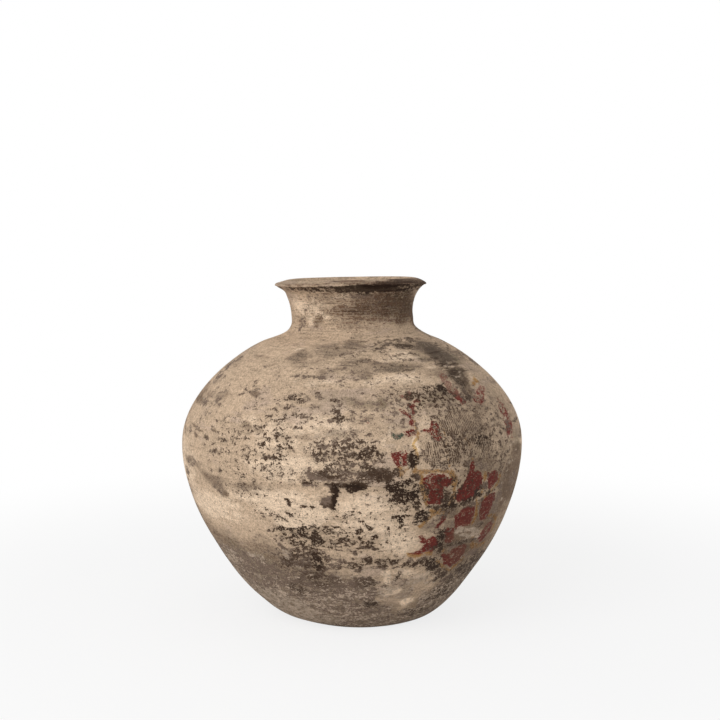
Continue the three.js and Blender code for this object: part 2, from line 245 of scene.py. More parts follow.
# Where the bared clay is darkest
DEEP = (
    # left
    (-54, 156, 2, 2, 60), (-40, 150, 14, 36, 50),
    # front
    (-13, 193, 5, 3, 50), (-22, 190, 5, 4, 66), (-6, 188, 4, 2, 50), (-5, 178, 3, 4, 62),
    (-24, 160, 12, 30, 50), (-29, 157, 2, 3, 80), (6.4, 153.6, 2.6, 4, 80), (-3, 152, 13, 14, 50),
    (2, 151, 4, 5, 80), (-25, 148, 4, 4, 62), (18, 146, 3, 8, 90), (18, 146, 2.4, 7, 130),
    (4, 142, 4, 2, 80), (-24, 137, 3, 4, 55), (-7, 137, 5, 4, 66), (8, 137, 6, 6, 74),
    (-10, 129.4, 7, 1.2, 100), (0.6, 128.6, 5, 4.4, 120), (-5.4, 127, 2, 4, 130),
    (12.4, 127, 3.4, 8, 115), (17, 125, 5, 11, 120), (15, 118, 9, 20, 90), (-6, 117, 1.2, 8, 150),
    (-24, 112, 14, 10, 70), (-6, 112, 3, 4, 90), (-20, 108, 16, 9, 75), (22, 104, 3.6, 6.4, 125),
    (15, 102, 4, 6, 90), (15, 101, 3.4, 5, 110), (-18, 94, 12, 6, 95), (2, 93, 16, 20, 75),
    (-15, 86, 9, 9, 90), (-20, 70, 10, 10, 50), (-13, 67, 3.4, 9, 95), (6, 66, 6, 5, 70),
    (14, 66, 6, 5, 70), (10, 65, 14, 6, 60), (24, 65, 6, 4, 70), (-22, 64, 8, 8, 50),
    (-16, 56, 4, 5, 60), (17, 55, 2, 5, 60), (-15, 52, 8, 10, 45), (4, 50, 7, 6, 40),
    (-24, 40, 5, 6, 50), (8, 29, 4, 3, 90),
    # right
    (36, 194, 3, 6, 110), (30, 190, 14, 9, 80), (38, 190, 6, 6, 70), (38, 164, 14, 26, 55),
    (45, 154, 6, 9, 95), (34, 150, 12, 12, 70), (54, 150, 10, 40, 50), (30, 120, 16, 18, 80),
    (43, 116, 2, 4, 110), (44, 115, 3, 6, 70), (50, 114, 6, 5, 70), (38, 112, 5, 3, 120),
    (31, 109, 5, 2.4, 120), (50, 86, 4, 5, 60), (29, 82, 3, 9, 90), (29.6, 82, 2.6, 9, 120),
    (40, 75, 10, 3, 80), (31.6, 73, 2, 5, 90), (66, 68, 6, 12, 70), (30, 60, 6, 9, 100),
    (31, 56, 6, 5, 70), (36, 50, 10, 8, 60), (48, 50, 10, 6, 80), (60, 46, 9, 18, 90),
    (48, 32, 10, 14, 70), (36, 27, 5, 4, 80), (32, 16, 10, 4, 60),
)

# Thick cream slip; by the left edge, partly painted light that brightens that side
PALE_AND_LIGHT = (
    # neck and lip
    (-8, 261, 10, 2.6, 80), (-45, 254, 26, 9, 72), (-1, 252, 3, 2, 70), (-24, 244.6, 5, 2, 100),
    (-44, 244, 5, 5, 70),
    # left: the two wide marks by the edge are partly thick slip and partly painted light
    (-32, 221, 4, 1.6, 70), (-45, 172, 22, 14, 20), (-34, 172, 4, 3, 55), (-72, 120, 14, 40, 75),
    (-58, 104, 26, 13, 90),
    # front
    (24, 216, 16, 3.6, 55), (20, 200, 18, 4, 60), (-14, 198, 14, 3, 45), (24, 172, 4, 6, 45),
    (12, 165, 3, 6, 35), (-8, 162, 18, 18, 60), (-24, 160, 10, 16, 60), (20.4, 156, 1.4, 6, 110),
    (-18, 142, 16, 12, 85), (-25, 116, 22, 9, 80), (-14, 112, 6, 8, 110), (3, 112, 11, 12, 72),
    (-26, 108, 8, 5, 80), (-16, 103, 9, 7, 140), (5, 98, 14, 12, 75), (14, 85, 8, 14, 80),
    (-2, 73, 8, 4, 30), (22, 56, 6, 4, 70), (13, 52, 1.8, 5, 130), (16, 39.6, 4, 2.8, 120),
    # right
    (38, 208, 3, 1, 80), (50, 206.8, 3.6, 2.2, 100), (59, 197, 4, 2, 40), (40, 84, 6, 5, 70),
    (49, 81, 4, 4, 60), (25, 26, 4, 3.2, 110),
)

# Pale dust left on the bare clay
DUST = (
    # left
    (-44, 84, 4, 2.4, 70), (-36, 68, 4, 8, 62), (-42, 67, 3, 3, 80), (-55, 64, 4, 2, 80),
    (-60, 55, 10, 12, 50), (-33, 49, 2, 2, 60), (-45, 47, 6, 3, 55), (-36, 35, 5, 2, 70),
    (-75, 30, 16, 20, 80), (-50, 30, 12, 14, 50), (-40, 18, 22, 16, 100),
    # front
    (-24, 73, 1.4, 4, 80), (-21, 62, 1.4, 3, 60), (6, 59, 3, 1.4, 70), (-17, 56, 1.4, 1, 90),
    (-4, 56, 3, 3, 70), (-22.4, 51.6, 1.2, 1, 90), (5, 44, 1, 1, 80), (2, 42, 1, 1, 90),
    (14, 41, 5, 5, 70), (-21, 38, 1, 1, 90), (20, 38, 5, 4, 85), (-12, 33, 4, 3, 50),
    (-5, 30, 5, 3, 66), (20, 30, 8, 4, 60), (-28, 28, 5, 2.4, 85), (-5, 17, 3, 2, 60),
    (10, 16, 12, 6, 50), (4, 14, 3, 2, 50), (-20, 10, 14, 8, 80),
    # right
    (40, 84, 5, 4, 80), (44, 80, 5, 3, 80), (50, 77, 4, 3, 60), (26, 45, 6, 8, 72), (34, 40, 5, 5, 60),
    (48, 40, 6, 4, 30), (27, 25.6, 4, 3.4, 95),
)

# Vertical marks of a cord-wrapped paddle
CORDED = (
    (38, 169, 10, 7, 110), (25, 151, 4.4, 8, 80), (44, 150, 6, 8, 70), (34, 146, 5, 8, 60),
    (52, 160, 5, 8, 50),
)

# Deep chips: outlines of (angle, height)
CHIPS = (
    ((-5, 130), (-4.2, 125), (-5, 121), (-6, 113), (-4.2, 109), (-5.5, 110), (-7, 110.5), (-9, 112),
     (-9.8, 117), (-9.5, 120.5), (-7, 121.5), (-6.4, 124), (-7, 128)),
    ((-4, 130.5), (-1, 132), (3, 132), (5, 131), (4.5, 127), (2, 125.5), (0, 124), (-1.2, 125),
     (-1.8, 128), (-4, 128.5)),
    ((-15.6, 130.2), (-14, 131.6), (-12.6, 130.4), (-10, 130.2), (-7, 130.2), (-4, 131), (-4, 128),
     (-7, 128.4), (-9.6, 128.6), (-12.6, 128.6), (-14.6, 128)),
)

# Red panels: how worn each is, then its outline
PANELS = (
    (0.35, ((21.2, 133.5), (24, 135.5), (29.5, 134.5), (29.8, 131), (31.4, 130), (32, 126), (30.5, 123),
        (28.6, 123), (29, 112), (25, 111), (22.8, 112.5), (22.8, 121), (23.6, 124), (21.6, 129))),
    (0.2, ((33, 114), (35, 121), (37, 127), (38.4, 132), (39.3, 139), (40.8, 139), (41, 133), (44, 131),
        (45, 126), (45, 119), (42, 114), (39, 110.5), (36, 109.5), (34, 110.5))),
    (0.26, ((46.4, 129), (50, 130.4), (53.8, 128), (54.6, 122), (51.6, 118), (48.4, 115.6), (47.6, 121))),
    (0.22, ((35, 100), (37, 104), (39, 106.5), (43, 105), (43.5, 99), (42.5, 91), (39, 90), (36.5, 87),
        (35.2, 91))),
    (0.18, ((45.6, 107), (48.8, 110.4), (54, 111), (54.4, 105), (53, 99), (51.8, 91), (48, 91), (45.8, 98))),
    (0.25, ((22.4, 87), (23.4, 89), (24, 86.5), (24.2, 83), (25.2, 82.5), (26.2, 86), (27.8, 84.5),
        (30.3, 80), (30, 76), (28, 73), (24, 72.5), (20, 72.7), (19, 74.3), (21, 75), (23.5, 77),
        (24, 80), (22.6, 83))),
    (0.16, ((31, 88), (32.6, 91), (35.2, 90), (35.6, 84), (36.6, 80), (36, 76), (33.4, 78.6), (32, 84))),
    (0.25, ((33, 66), (33.5, 70), (36, 68.5), (38, 71.5), (44, 73.5), (46.5, 70), (46, 63), (43, 57),
        (41, 53), (38, 57), (34.5, 62))),
    (0.4, ((50, 74), (53, 85), (57, 89), (60, 82), (59, 74), (54, 70))),
    (0.2, ((26.8, 92), (27.6, 96), (29, 100.6), (31.4, 101.4), (31, 97.6), (29.6, 95.6), (28.9, 92))),
    (0.3, ((11.6, 153), (14, 152.4), (16, 154.5), (16.8, 151), (15.5, 143), (13, 141.5), (11.8, 145))),
    (0.3, ((15.5, 168), (19.5, 169), (19.7, 163), (17, 162.5), (16.5, 165.5), (14.5, 167))),
    (0.3, ((16, 181), (17.5, 181), (19.2, 178), (19.8, 175), (19.6, 169), (18.4, 169), (17.6, 174),
        (18.6, 176), (16.4, 179))),
    (0.3, ((20, 178), (20.7, 180), (19.5, 184), (21.5, 185), (22.5, 187.5), (24.8, 187.8), (24.5, 186.5),
        (22.6, 185), (21.5, 182), (21, 177))),
    (0.44, ((22, 166), (25, 168), (27, 173), (28.5, 172), (29, 168), (28, 165), (29.5, 160), (28, 158),
        (25.5, 159), (26, 162), (24, 165))),
    (0.36, ((17, 191), (20, 191), (21.3, 194), (22, 192), (20, 187), (17, 188))),
    (0.42, ((38, 190), (38.4, 198), (40, 204), (43, 205), (43, 197), (43.4, 188), (44, 182), (42, 180),
        (40, 184))),
    (0.5, ((48, 181), (52, 180), (58, 185), (62, 190), (60, 193), (54, 189), (49, 185))),
    (0.56, ((60, 152), (65, 150), (68, 160), (69, 172), (66, 180), (63, 176), (61, 164))),
    (0.6, ((3.2, 176), (5, 177.5), (6.6, 175.5), (5.5, 172.5), (4.6, 174))),
)

# Ochre bands: half width in millimetres, then the line that each follows
BANDS = (
    (1.5, ((19, 138.3), (21, 134), (21.6, 126), (22.2, 117), (23, 112))),
    (1.0, ((19, 138), (24, 137.6), (29, 136.6), (32.5, 133), (33.4, 128))),
    (2.4, ((31.4, 134), (33, 129), (32.8, 124))), (1.6, ((33, 126), (32.6, 118), (31.8, 110.6))),
    (0.9, ((22.3, 95), (24.4, 101), (26.6, 105), (29, 104), (32, 103.5))),
    (1.2, ((19, 73), (22, 71.6), (28, 71))), (1.2, ((31.6, 75), (33, 72))),
    (1.0, ((45.8, 130), (46, 120), (45, 115), (42.5, 111), (43.4, 106))),
    (1.3, ((44.2, 106), (44.6, 98), (43.8, 91))), (1.8, ((25, 106.6), (28, 106), (30.6, 104))),
    (1.1, ((45.4, 106), (47.5, 112), (51, 114), (54.5, 119), (55.5, 126))),
    (1.1, ((31.5, 63), (34, 59.5), (38, 55), (41, 50.5), (45, 56), (48.5, 61.5))),
    (1.7, ((46.8, 77), (48.8, 69), (53, 65.4), (59, 67.4))),
    (1.1, ((53, 95), (57, 92), (61.5, 86), (61.5, 76))),
    (0.7, ((20.2, 176), (20.1, 169), (21.2, 163), (19.6, 157), (19.5, 150), (18.6, 140))),
    (1.3, ((13.4, 141), (14.2, 136), (16, 141))),
    (0.5, ((29.8, 172), (30.4, 162), (29.8, 150), (30.6, 140))),
    (0.6, ((37.4, 160), (39, 151), (39.8, 142))), (0.8, ((55, 193.4), (58, 195), (61, 196))),
)

# Pale strokes left by the brush, in the same form
STROKES = (
    (1.0, ((9.6, 161), (11.4, 166), (12.4, 172))), (0.5, ((-13, 163), (-8, 165.6), (-1, 170.4))),
    (0.4, ((-10.5, 144.4), (-7, 146), (-3, 146.6))), (0.4, ((-12, 131.6), (-8, 132.6), (-3, 132.2))),
    (0.35, ((-20, 164), (-15, 166.4))), (0.35, ((3, 141.6), (7, 142.6))),
    (0.4, ((26, 205), (33, 208))), (0.4, ((46, 207), (52, 209.5))), (0.3, ((-26, 199), (-18, 202))),
    (1.7, ((36.5, 86.4), (42, 86.4), (48, 83))), (1.3, ((39, 82), (44, 80), (50, 79))),
    (1.0, ((37, 89.4), (41, 89))), (0.5, ((42, 109.4), (45, 110.6))), (0.4, ((31, 124), (32, 116))),
    (1.8, ((10, 56.5), (14, 55))), (1.2, ((11, 43), (19, 42))), (1.0, ((19, 33), (24, 32))),
    (2.2, ((24, 51), (30, 52))), (1.0, ((33, 49), (36, 49))), (1.2, ((17, 60), (22, 58))),
    (0.5, ((57, 117), (58.6, 118))), (0.7, ((62, 109), (63.6, 109.4))), (0.5, ((66, 119), (67, 120))),
    (0.7, ((60, 126), (61.8, 126.4))), (0.5, ((68, 112), (69.2, 112.6))),
    (0.8, ((63, 98), (65.4, 98.8))), (0.5, ((71, 121), (72, 121.6))), (0.6, ((65, 146), (66.6, 147))),
    (0.5, ((67, 139), (68.4, 139.4))), (0.8, ((59, 104), (60.6, 103.4))),
    (0.5, ((62, 152), (63.6, 153))), (0.6, ((70, 131), (72, 131.6))),
)

# Thin dark lines of soot and dirt, in the same form
SCRATCHES = (
    (0.5, ((12, 221), (18, 222.6), (26, 224.2), (36, 225), (48, 225.6))),
    (0.6, ((14, 221), (17, 221), (21, 221.8))),
    (0.35, ((14, 224.6), (24, 226.6), (34, 227.4), (46, 228), (56, 227))),
    (1.2, ((28, 222.4), (34, 222.6), (38, 222))),
    (0.3, ((5, 226.4), (14, 228), (22, 229.4), (30, 229.6))),
    (0.3, ((30, 226), (40, 226.6), (52, 227.4))),
    (0.25, ((-42, 255.4), (-20, 256), (0, 255.8), (20, 255.6), (40, 255.6))),
    (0.2, ((-20, 246.6), (0, 246.8))), (0.3, ((-6, 218), (2, 219), (8, 220.4))),
    (0.3, ((-26, 204), (-20, 203), (-14, 204))), (0.3, ((43.6, 218), (42.8, 212), (44, 205))),
    (0.2, ((-10, 243), (12, 243.4))), (0.3, ((2, 213), (8, 214.4), (14, 214))),
    (0.25, ((10, 209.6), (18, 210.8), (27, 210))), (0.3, ((22, 216.4), (30, 217.8), (38, 217.2))),
    (0.25, ((26, 212.6), (34, 214.2), (40, 213.6))), (0.25, ((-12, 222), (-4, 222.8), (4, 222.2))),
    (0.3, ((16, 206), (24, 207.4), (32, 207))),
)

# Green pigment, in the same form
GREENS = (
    (1.3, ((12.8, 165.4), (14, 163.4), (15.2, 164.6))), (0.4, ((13.4, 163), (14.6, 162.4))),
    (0.5, ((22.6, 107.4), (24, 105.6))),
)

# The painted band is guessed to have run right round. Each copy is (turn in degrees, added wear).
REPEATS = ((0, 0.0), (72, 0.1), (144, 0.25))


def tint(red, green, blue):
    """The linear colour of one written as 0 to 255 a channel."""
    scaled = [channel / 255 for channel in (red, green, blue)]
    return [c / 12.92 if c <= 0.04045 else ((c + 0.055) / 1.055) ** 2.4 for c in scaled]


def length(name, description, default):
    return bpy.props.FloatProperty(
        name=name, description=description, default=default, min=0, unit="LENGTH", precision=5
    )


def colour(name, description, *rgb):
    return bpy.props.FloatVectorProperty(
        name=name, description=description, default=tint(*rgb), subtype="COLOR", size=3, min=0, max=1
    )


def power(name, description, default):
    return bpy.props.FloatProperty(name=name, description=description, default=default, unit="POWER")


class JarShape(bpy.types.PropertyGroup):
    """Sizes of the jar"""

    foot_radius: length("Foot radius", "Edge of the flat foot", 0.062)
    foot_run: length("Foot run", "How far the wall runs out flat from the foot", 0.020)
    foot_rise: length("Foot rise", "How far it climbs on that run", 0.0056)
    belly_radius: length("Belly radius", "Widest place", 0.1399)
    belly_height: length("Belly height", "Height of the widest place", 0.141)
    lower_fullness: length("Lower fullness", "How full the wall is under the belly", 0.063)
    upper_fullness: length("Upper fullness", "How full the wall is over the belly", 0.044)
    shoulder_radius: length("Shoulder radius", "Top of the shoulder", 0.071)
    shoulder_height: length("Shoulder height", "Height of the top of the shoulder", JAR_TOP - 0.0505)
    shoulder_run: length("Shoulder run", "How far the shoulder runs on straight", 0.0165)
    root_run: length("Neck root run", "How far the shoulder runs into the neck", 0.006)
    waist_radius: length("Waist radius", "Narrowest place of the neck", 0.0497)
    waist_height: length("Waist height", "Height of that place", JAR_TOP - 0.0345)
    waist_drop: length("Waist drop", "How far the neck stays upright below its waist", 0.0094)
    waist_rise: length("Waist rise", "How far it stays upright above its waist", 0.0134)
    lip_radius: length("Lip radius", "Edge of the lip", 0.0622)
    lip_height: length("Lip height", "Height of the edge of the lip", JAR_TOP - 0.0047)
    lip_edge: length("Lip edge", "How far the edge of the lip is rounded", 0.001)
    lip_reach: length("Lip reach", "How far the underside of the lip runs out", 0.0095)
    lip_hollow: length("Lip hollow", "How far the underside lies below the edge there", 0.005)
    crest_radius: length("Crest radius", "Highest ring of the lip", 0.052)
    crest_run: length("Crest run", "How far the crest runs out level", 0.004)
    mouth_run: length("Mouth run", "How far the crest runs in level", 0.003)
    wall: length("Wall", "Thickness of the wall", 0.007)
    foot_sway: length("Foot sway", "How far the foot stands to one side", 0.004)
    neck_sway: length("Neck sway", "How far the neck stands to one side", 0.0007)
    belly_seam: length("Belly seam", "Height of the seam between bowl and dome", 0.128)
    neck_seam: length("Neck seam", "Height of the seam between dome and neck", JAR_TOP - 0.0425)
    lip_seam: length("Lip seam", "Height of the seam between neck and lip", JAR_TOP - 0.0155)
    row: length("Row spacing", "Distance between rows of the outer skin", 0.00148)
    steps: bpy.props.IntProperty(name="Steps round", description="Faces round the jar", default=560, min=24)


class JarFinish(bpy.types.PropertyGroup):
    """Colours of the clay, slip, dirt and paint"""

    tan: colour("Tan slip", "Ordinary slip", 200, 174, 147)
    cream: colour("Cream slip", "Thick slip", 232, 206, 178)
    pink: colour("Rubbed slip", "Slip that has been rubbed thin", 166, 145, 132)
    # also the colour of the painted shade on the right side
    veil: colour("Dirt", "Soft brown grey dirt", 138, 117, 98)
    olive: colour("Damp dirt", "The same dirt where it is damp", 132, 117, 92)
    deep_veil: colour("Thick dirt", "The same dirt where it is thick", 98, 77, 60)
    ash: colour("Ash", "Thick dirt on the shoulder", 82, 70, 60)
    rust: colour("Neck dirt", "Thick dirt on the neck", 88, 58, 40)
    # colour of the painted shade in the band under the lip
    under_lip_shade: colour("Lip dirt", "What has gathered under the lip", 38, 21, 12)
    clay: colour("Clay", "Bare fired clay", 122, 103, 89)
    dark_clay: colour("Dark clay", "Clay blackened in the fire", 70, 53, 40)
    dust: colour("Dust", "Pale dust left on the clay", 186, 166, 146)
    smoke: colour("Smoke", "Charcoal and fire marks", 48, 33, 23)
    red: colour("Red", "Red paint", 98, 19, 15)
    bright_red: colour("Worn red", "Red paint rubbed thin", 134, 56, 44)
    ochre: colour("Ochre", "Ochre paint", 148, 106, 54)
    pale_ochre: colour("Worn ochre", "Ochre paint rubbed thin", 206, 164, 96)
    green: colour("Green", "Green pigment", 24, 58, 46)
    inner: colour("Inner clay", "Clay inside the jar", 118, 100, 84)


class JarStage(bpy.types.PropertyGroup):
    """Camera, lamps and floor"""

    camera_back: length("Camera distance", "How far the camera stands back", 0.9982)
    camera_height: length("Camera height", "Height of the camera", 0.3026)
    camera_lens: bpy.props.FloatProperty(
        name="Lens", description="Focal length", default=60.8, unit="CAMERA",
    )
    camera_tilt: bpy.props.FloatVectorProperty(
        name="Camera tilt", description="Down, to the right and clockwise, in degrees",
        default=(5.489, 0.404, 0.475), size=3,
    )
    key_power: power("Key", "Power of the front left lamp", 15)
    fill_power: power("Fill", "Power of the right lamp", 2)
    sky: bpy.props.FloatProperty(
        name="Sky", description="Strength of the light from all round", default=0.55,
    )
    floor_size: length("Floor", "Width of the floor", 12)


# Outline

SHOULDER_SLOPE = math.radians(20.5)


def bezier(start, out, into, end, count=240):
    """Points along one cubic curve, in (radius, height)."""
    part = np.linspace(0, 1, count)[:, None]
    start, out, into, end = (np.array(point) for point in (start, out, into, end))
    rest = 1 - part
    return rest**3 * start + 3 * rest**2 * part * out + 3 * rest * part**2 * into + part**3 * end


def joined(*lines):
    return np.vstack([lines[0], *[line[1:] for line in lines[1:]]])


def outer_surface(s):
    """The outside of the jar from the edge of the foot up to the edge of the lip."""
    slope = np.array([math.cos(SHOULDER_SLOPE), -math.sin(SHOULDER_SLOPE)])
    belly = (s.belly_radius, s.belly_height)
    shoulder = np.array([s.shoulder_radius, s.shoulder_height])
    waist = (s.waist_radius, s.waist_height)
    edge = (s.lip_radius - s.lip_edge, s.lip_height - 0.6 * s.lip_edge)
    return joined(
        bezier((s.foot_radius, 0), (s.foot_radius + s.foot_run, s.foot_rise),
               (s.belly_radius, s.belly_height - s.lower_fullness), belly),
        bezier(belly, (s.belly_radius, s.belly_height + s.upper_fullness),
               shoulder + s.shoulder_run * slope, shoulder),
        bezier(shoulder, shoulder - s.root_run * slope,
               (s.waist_radius, s.waist_height - s.waist_drop), waist),
        bezier(waist, (s.waist_radius, s.waist_height + s.waist_rise),
               (s.lip_radius - s.lip_reach, s.lip_height - s.lip_hollow), edge),
    )


def offset(line, depth):
    """The line moved into the wall by a depth, which may differ from point to point."""
    along = np.gradient(line, axis=0)
    along /= np.linalg.norm(along, axis=1)[:, None]
    return line + np.column_stack([-along[:, 1], along[:, 0]]) * np.reshape(depth, (-1, 1))


def between(line, low, high):
    """The stretch of a rising line between two heights, ends included."""
    heights = line[:, 1]
    ends = [(np.interp(height, heights, line[:, 0]), height) for height in (low, high)]
    middle = line[(heights > low) & (heights < high)]
    return np.vstack([ends[0], middle, ends[1]])


def spaced(line, spacing):
    """The line with evenly spaced points, no further apart than the spacing."""
    run = np.concatenate([[0], np.cumsum(np.linalg.norm(np.diff(line, axis=0), axis=1))])
    places = np.linspace(0, run[-1], max(2, math.ceil(run[-1] / spacing) + 1))
    return np.column_stack([np.interp(places, run, line[:, axis]) for axis in (0, 1)])


# Making meshes

SAME_PLACE = 0.001 * MM


def spun(name, section, inside, steps, closed=True):
    """A piece turned from its section. inside is 1 for the points that face into the jar."""
    bpy.ops.object.select_all(action="DESELECT")
    bpy.ops.mesh.primitive_circle_add(vertices=len(section), radius=MM)
    piece = bpy.context.object
    piece.name = piece.data.name = name
    for vertex, (radius, height) in zip(piece.data.vertices, section):
        vertex.co = (radius, 0, height)
    keep(piece, "inside", inside)
    if not closed:
        bpy.ops.object.mode_set(mode="EDIT")
        bpy.ops.mesh.select_all(action="DESELECT")
        bpy.ops.object.mode_set(mode="OBJECT")
        for edge in piece.data.edges:
            edge.select = set(edge.vertices) == {0, len(section) - 1}
        bpy.ops.object.mode_set(mode="EDIT")
        bpy.ops.mesh.delete(type="EDGE")
        bpy.ops.object.mode_set(mode="OBJECT")
    turn = piece.modifiers.new("turn", "SCREW")
    turn.axis, turn.angle, turn.screw_offset = "Z", 2 * math.pi, 0
    turn.steps = turn.render_steps = steps
    turn.use_merge_vertices = True
    bpy.ops.object.modifier_apply(modifier=turn.name)
    bpy.ops.object.mode_set(mode="EDIT")
    bpy.ops.mesh.select_all(action="SELECT")
    bpy.ops.mesh.remove_doubles(threshold=SAME_PLACE)
    bpy.ops.mesh.normals_make_consistent(inside=False)
    bpy.ops.object.mode_set(mode="OBJECT")
    return piece


def points_of(piece):
    flat = np.empty(len(piece.data.vertices) * 3, np.float32)
    piece.data.vertices.foreach_get("co", flat)
    return flat.reshape(-1, 3).astype(float)


def values_of(piece, name):
    values = np.empty(len(piece.data.vertices), np.float32)
    piece.data.attributes[name].data.foreach_get("value", values)
    return values


def keep(piece, name, values):
    layer = piece.data.attributes.new(name, "FLOAT", "POINT")
    layer.data.foreach_set("value", np.asarray(values, np.float32))


# Noise and marks

CELLS = 64
LATTICE = np.random.RandomState(5).uniform(-1, 1, (CELLS, CELLS, CELLS))
OCTAVE_SHIFT = 7.3
MARK_FALL = 0.7
MARK_CUT = 2.3  # a mark is nothing this many times its half height away
MM_PER_DEGREE = 2.3  # along the wall
FAR = 30.0
NEAR_DEGREES = 5  # an outline is only looked at this far round from it


def waves(places):
    """Smooth noise from -1 to 1, with features about one unit across."""
    cell = np.floor(places).astype(int)
    part = places - cell
    part = part * part * (3 - 2 * part)
    total = np.zeros(len(places))
    for corner in itertools.product((0, 1), repeat=3):
        weight = np.prod(np.where(corner, part, 1 - part), axis=1)
        total += LATTICE[tuple(((cell + corner) & (CELLS - 1)).T)] * weight
    return total


def rough(points, size, octaves=3):
    """Noise at each point, with features of about the given size in metres and finer ones on them."""
    return sum(waves(points / size * 2**n + OCTAVE_SHIFT * n) * 0.5**n for n in range(octaves))


def ramp(value, low, high):
    """0 up to low, 1 from high on, and straight between."""
    return np.clip((value - low) / (high - low), 0, 1)


def bump(value, middle, width):
    """1 at the middle, falling smoothly to nothing over about two widths."""
    return np.exp(-(((value - middle) / width) ** 2))


def turned_by(angle):
    """Angles brought to between -180 and 180."""
    return (angle + 180) % 360 - 180


def side(angle, middle, width):
    """1 at one side of the jar, falling smoothly to nothing over about two widths, in degrees."""
    return bump(turned_by(angle - middle), 0, width)


def marked(angle, height, marks):
    """How strongly a list of soft marks covers each point, the strongest mark counting."""
    cover = np.zeros(len(angle))
    order = np.argsort(height)
    rising = height[order]
    for middle, level, wide, tall, strength in marks:
        low, high = np.searchsorted(rising, (level - MARK_CUT * tall, level + MARK_CUT * tall))
        near = order[low:high]
        away = (turned_by(angle[near] - middle) / wide) ** 2 + ((height[near] - level) / tall) ** 2
        cover[near] = np.maximum(cover[near], strength / 100 * np.exp(-(away**1.5) * MARK_FALL))
    return cover


def below(angle, height, line, softness):
    """1 under a line given by angle, 0 above it, and soft between, over that many millimetres."""
    edge = np.interp(turned_by(angle), *zip(*line))
    return np.clip((edge - height) / softness + 0.5, 0, 1)


def edge_distance(angle, height, outline, closed=True):
    """Millimetres from each point to an outline, negative inside a closed one, and at most FAR."""
    corners = np.array(outline, float) * (MM_PER_DEGREE, 1)
    place = np.column_stack([angle * MM_PER_DEGREE, height])
    nearest = np.full(len(angle), FAR)
    odd = np.zeros(len(angle), bool)
    following = np.roll(corners, -1, axis=0) if closed else corners[1:]
    for a, b in zip(corners, following):
        along = b - a
        part = np.clip((place - a) @ along / (along @ along), 0, 1)
        nearest = np.minimum(nearest, np.linalg.norm(place - a - part[:, None] * along, axis=1))
        if closed and a[1] != b[1]:
            crossing = (a[1] > place[:, 1]) != (b[1] > place[:, 1])
            odd ^= crossing & (place[:, 0] < a[0] + (place[:, 1] - a[1]) * along[0] / along[1])
    return np.where(odd, -nearest, nearest)


def drawn(angle, height, shapes, closed=False):
    """The distance to the nearest of many shapes, and how worn that one is.

    A closed shape's own first value is its wear, and an open line's is half its width.
    """
    nearest, wear = np.full(len(angle), FAR), np.zeros(len(angle))
    for turn, extra in REPEATS:
        local = turned_by(angle - turn)
        for own, outline in shapes:
            angles = [corner[0] for corner in outline]
            near = (local > min(angles) - NEAR_DEGREES) & (local < max(angles) + NEAR_DEGREES)
            if not near.any():
                continue
            distance = edge_distance(local[near], height[near], outline, closed) - (0 if closed else own)
            closer = distance < nearest[near]
            picked = np.flatnonzero(near)[closer]
            nearest[picked] = distance[closer]
            wear[picked] = own + extra if closed else extra
    return nearest, wear


def scattered(seed, count, wide, tall, strengths, heights, free):
    """Marks strewn over the side of the jar that no listed mark covers."""
    draw = np.random.RandomState(seed)
    spans = (free, 360 - free), heights, wide, tall, strengths
    return tuple(tuple(draw.uniform(*span) for span in spans) for _ in range(count))


BACK_BARE = scattered(11, 150, (1, 6), (1.5, 6), (40, 80), (60, 215), 62)
BACK_VEIL = scattered(12, 60, (5, 16), (3, 12), (30, 80), (20, 235), 70)
BACK_PALE = scattered(13, 40, (6, 20), (4, 14), (40, 90), (40, 205), 70)
BACK_DEEP = scattered(16, 40, (4, 12), (4, 12), (40, 90), (30, 210), 66)
BACK_DUST = scattered(15, 60, (2, 8), (1.5, 6), (50, 90), (8, 100), 66)
BACK_SMOKE = scattered(14, 22, (4, 12), (3, 12), (30, 80), (30, 240), 74)


# Hand work, in millimetres and degrees

SHRINK = 0.45  # how far the skin lies inside the solids
WANDER = 0.5  # how far the belly is out of round
LUMPS = 0.14
CHIP_DEPTH = 0.9
CHIP_EDGE = 1.6  # how far in from its outline a chip is as deep as it gets
SLIP_DEPTH = 0.12
RING_DEPTH = 0.25  # throwing rings inside
RING_HEIGHT = 3.1
FLAT_DEPTH = 3.2  # a worn flat at the left of the foot
FLAT_HEIGHT = 9
SOLE_MIDDLE = 20  # from here to the middle of the sole, points are moved less and less
WORN_SHARE = 0.66
SOILED_SHARE = 0.64
SHADE_ANGLE = math.radians(50)

# How wide the features of the noise are, in metres, and what sets one layer of it apart from another
BROAD, LUMPY, LOOSE, CLOSE, RIM = 110 * MM, 18 * MM, 16 * MM, 6 * MM, 50 * MM
APART = (1.7, 3.1, 5.3)

# Heights, or radii, over which something sets in
# the first two set where the painted shade under the lip begins and ends
EAVE_FOOT = (263.4, 265.8)
EAVE_TOP = (268.8, 269.6)
LIP_OUT = (54, 59)
LIP_UP = (264, 267)
CREST_UP = (270.5, 273.5)

# Swells of the neck root: height, half its depth, how far out at the front, how much more on the right
NECK_SWELLS = ((230, 5, -0.1, 1.6), (240, 6, 0.6, 0.6))

# The left tip of the lip is a thicker wedge: height, half its depth, how far out
TIP_SWELLS = ((267.6, 1.6, 1), (271.6, 1.2, 0.8), (264, 3, -0.8))


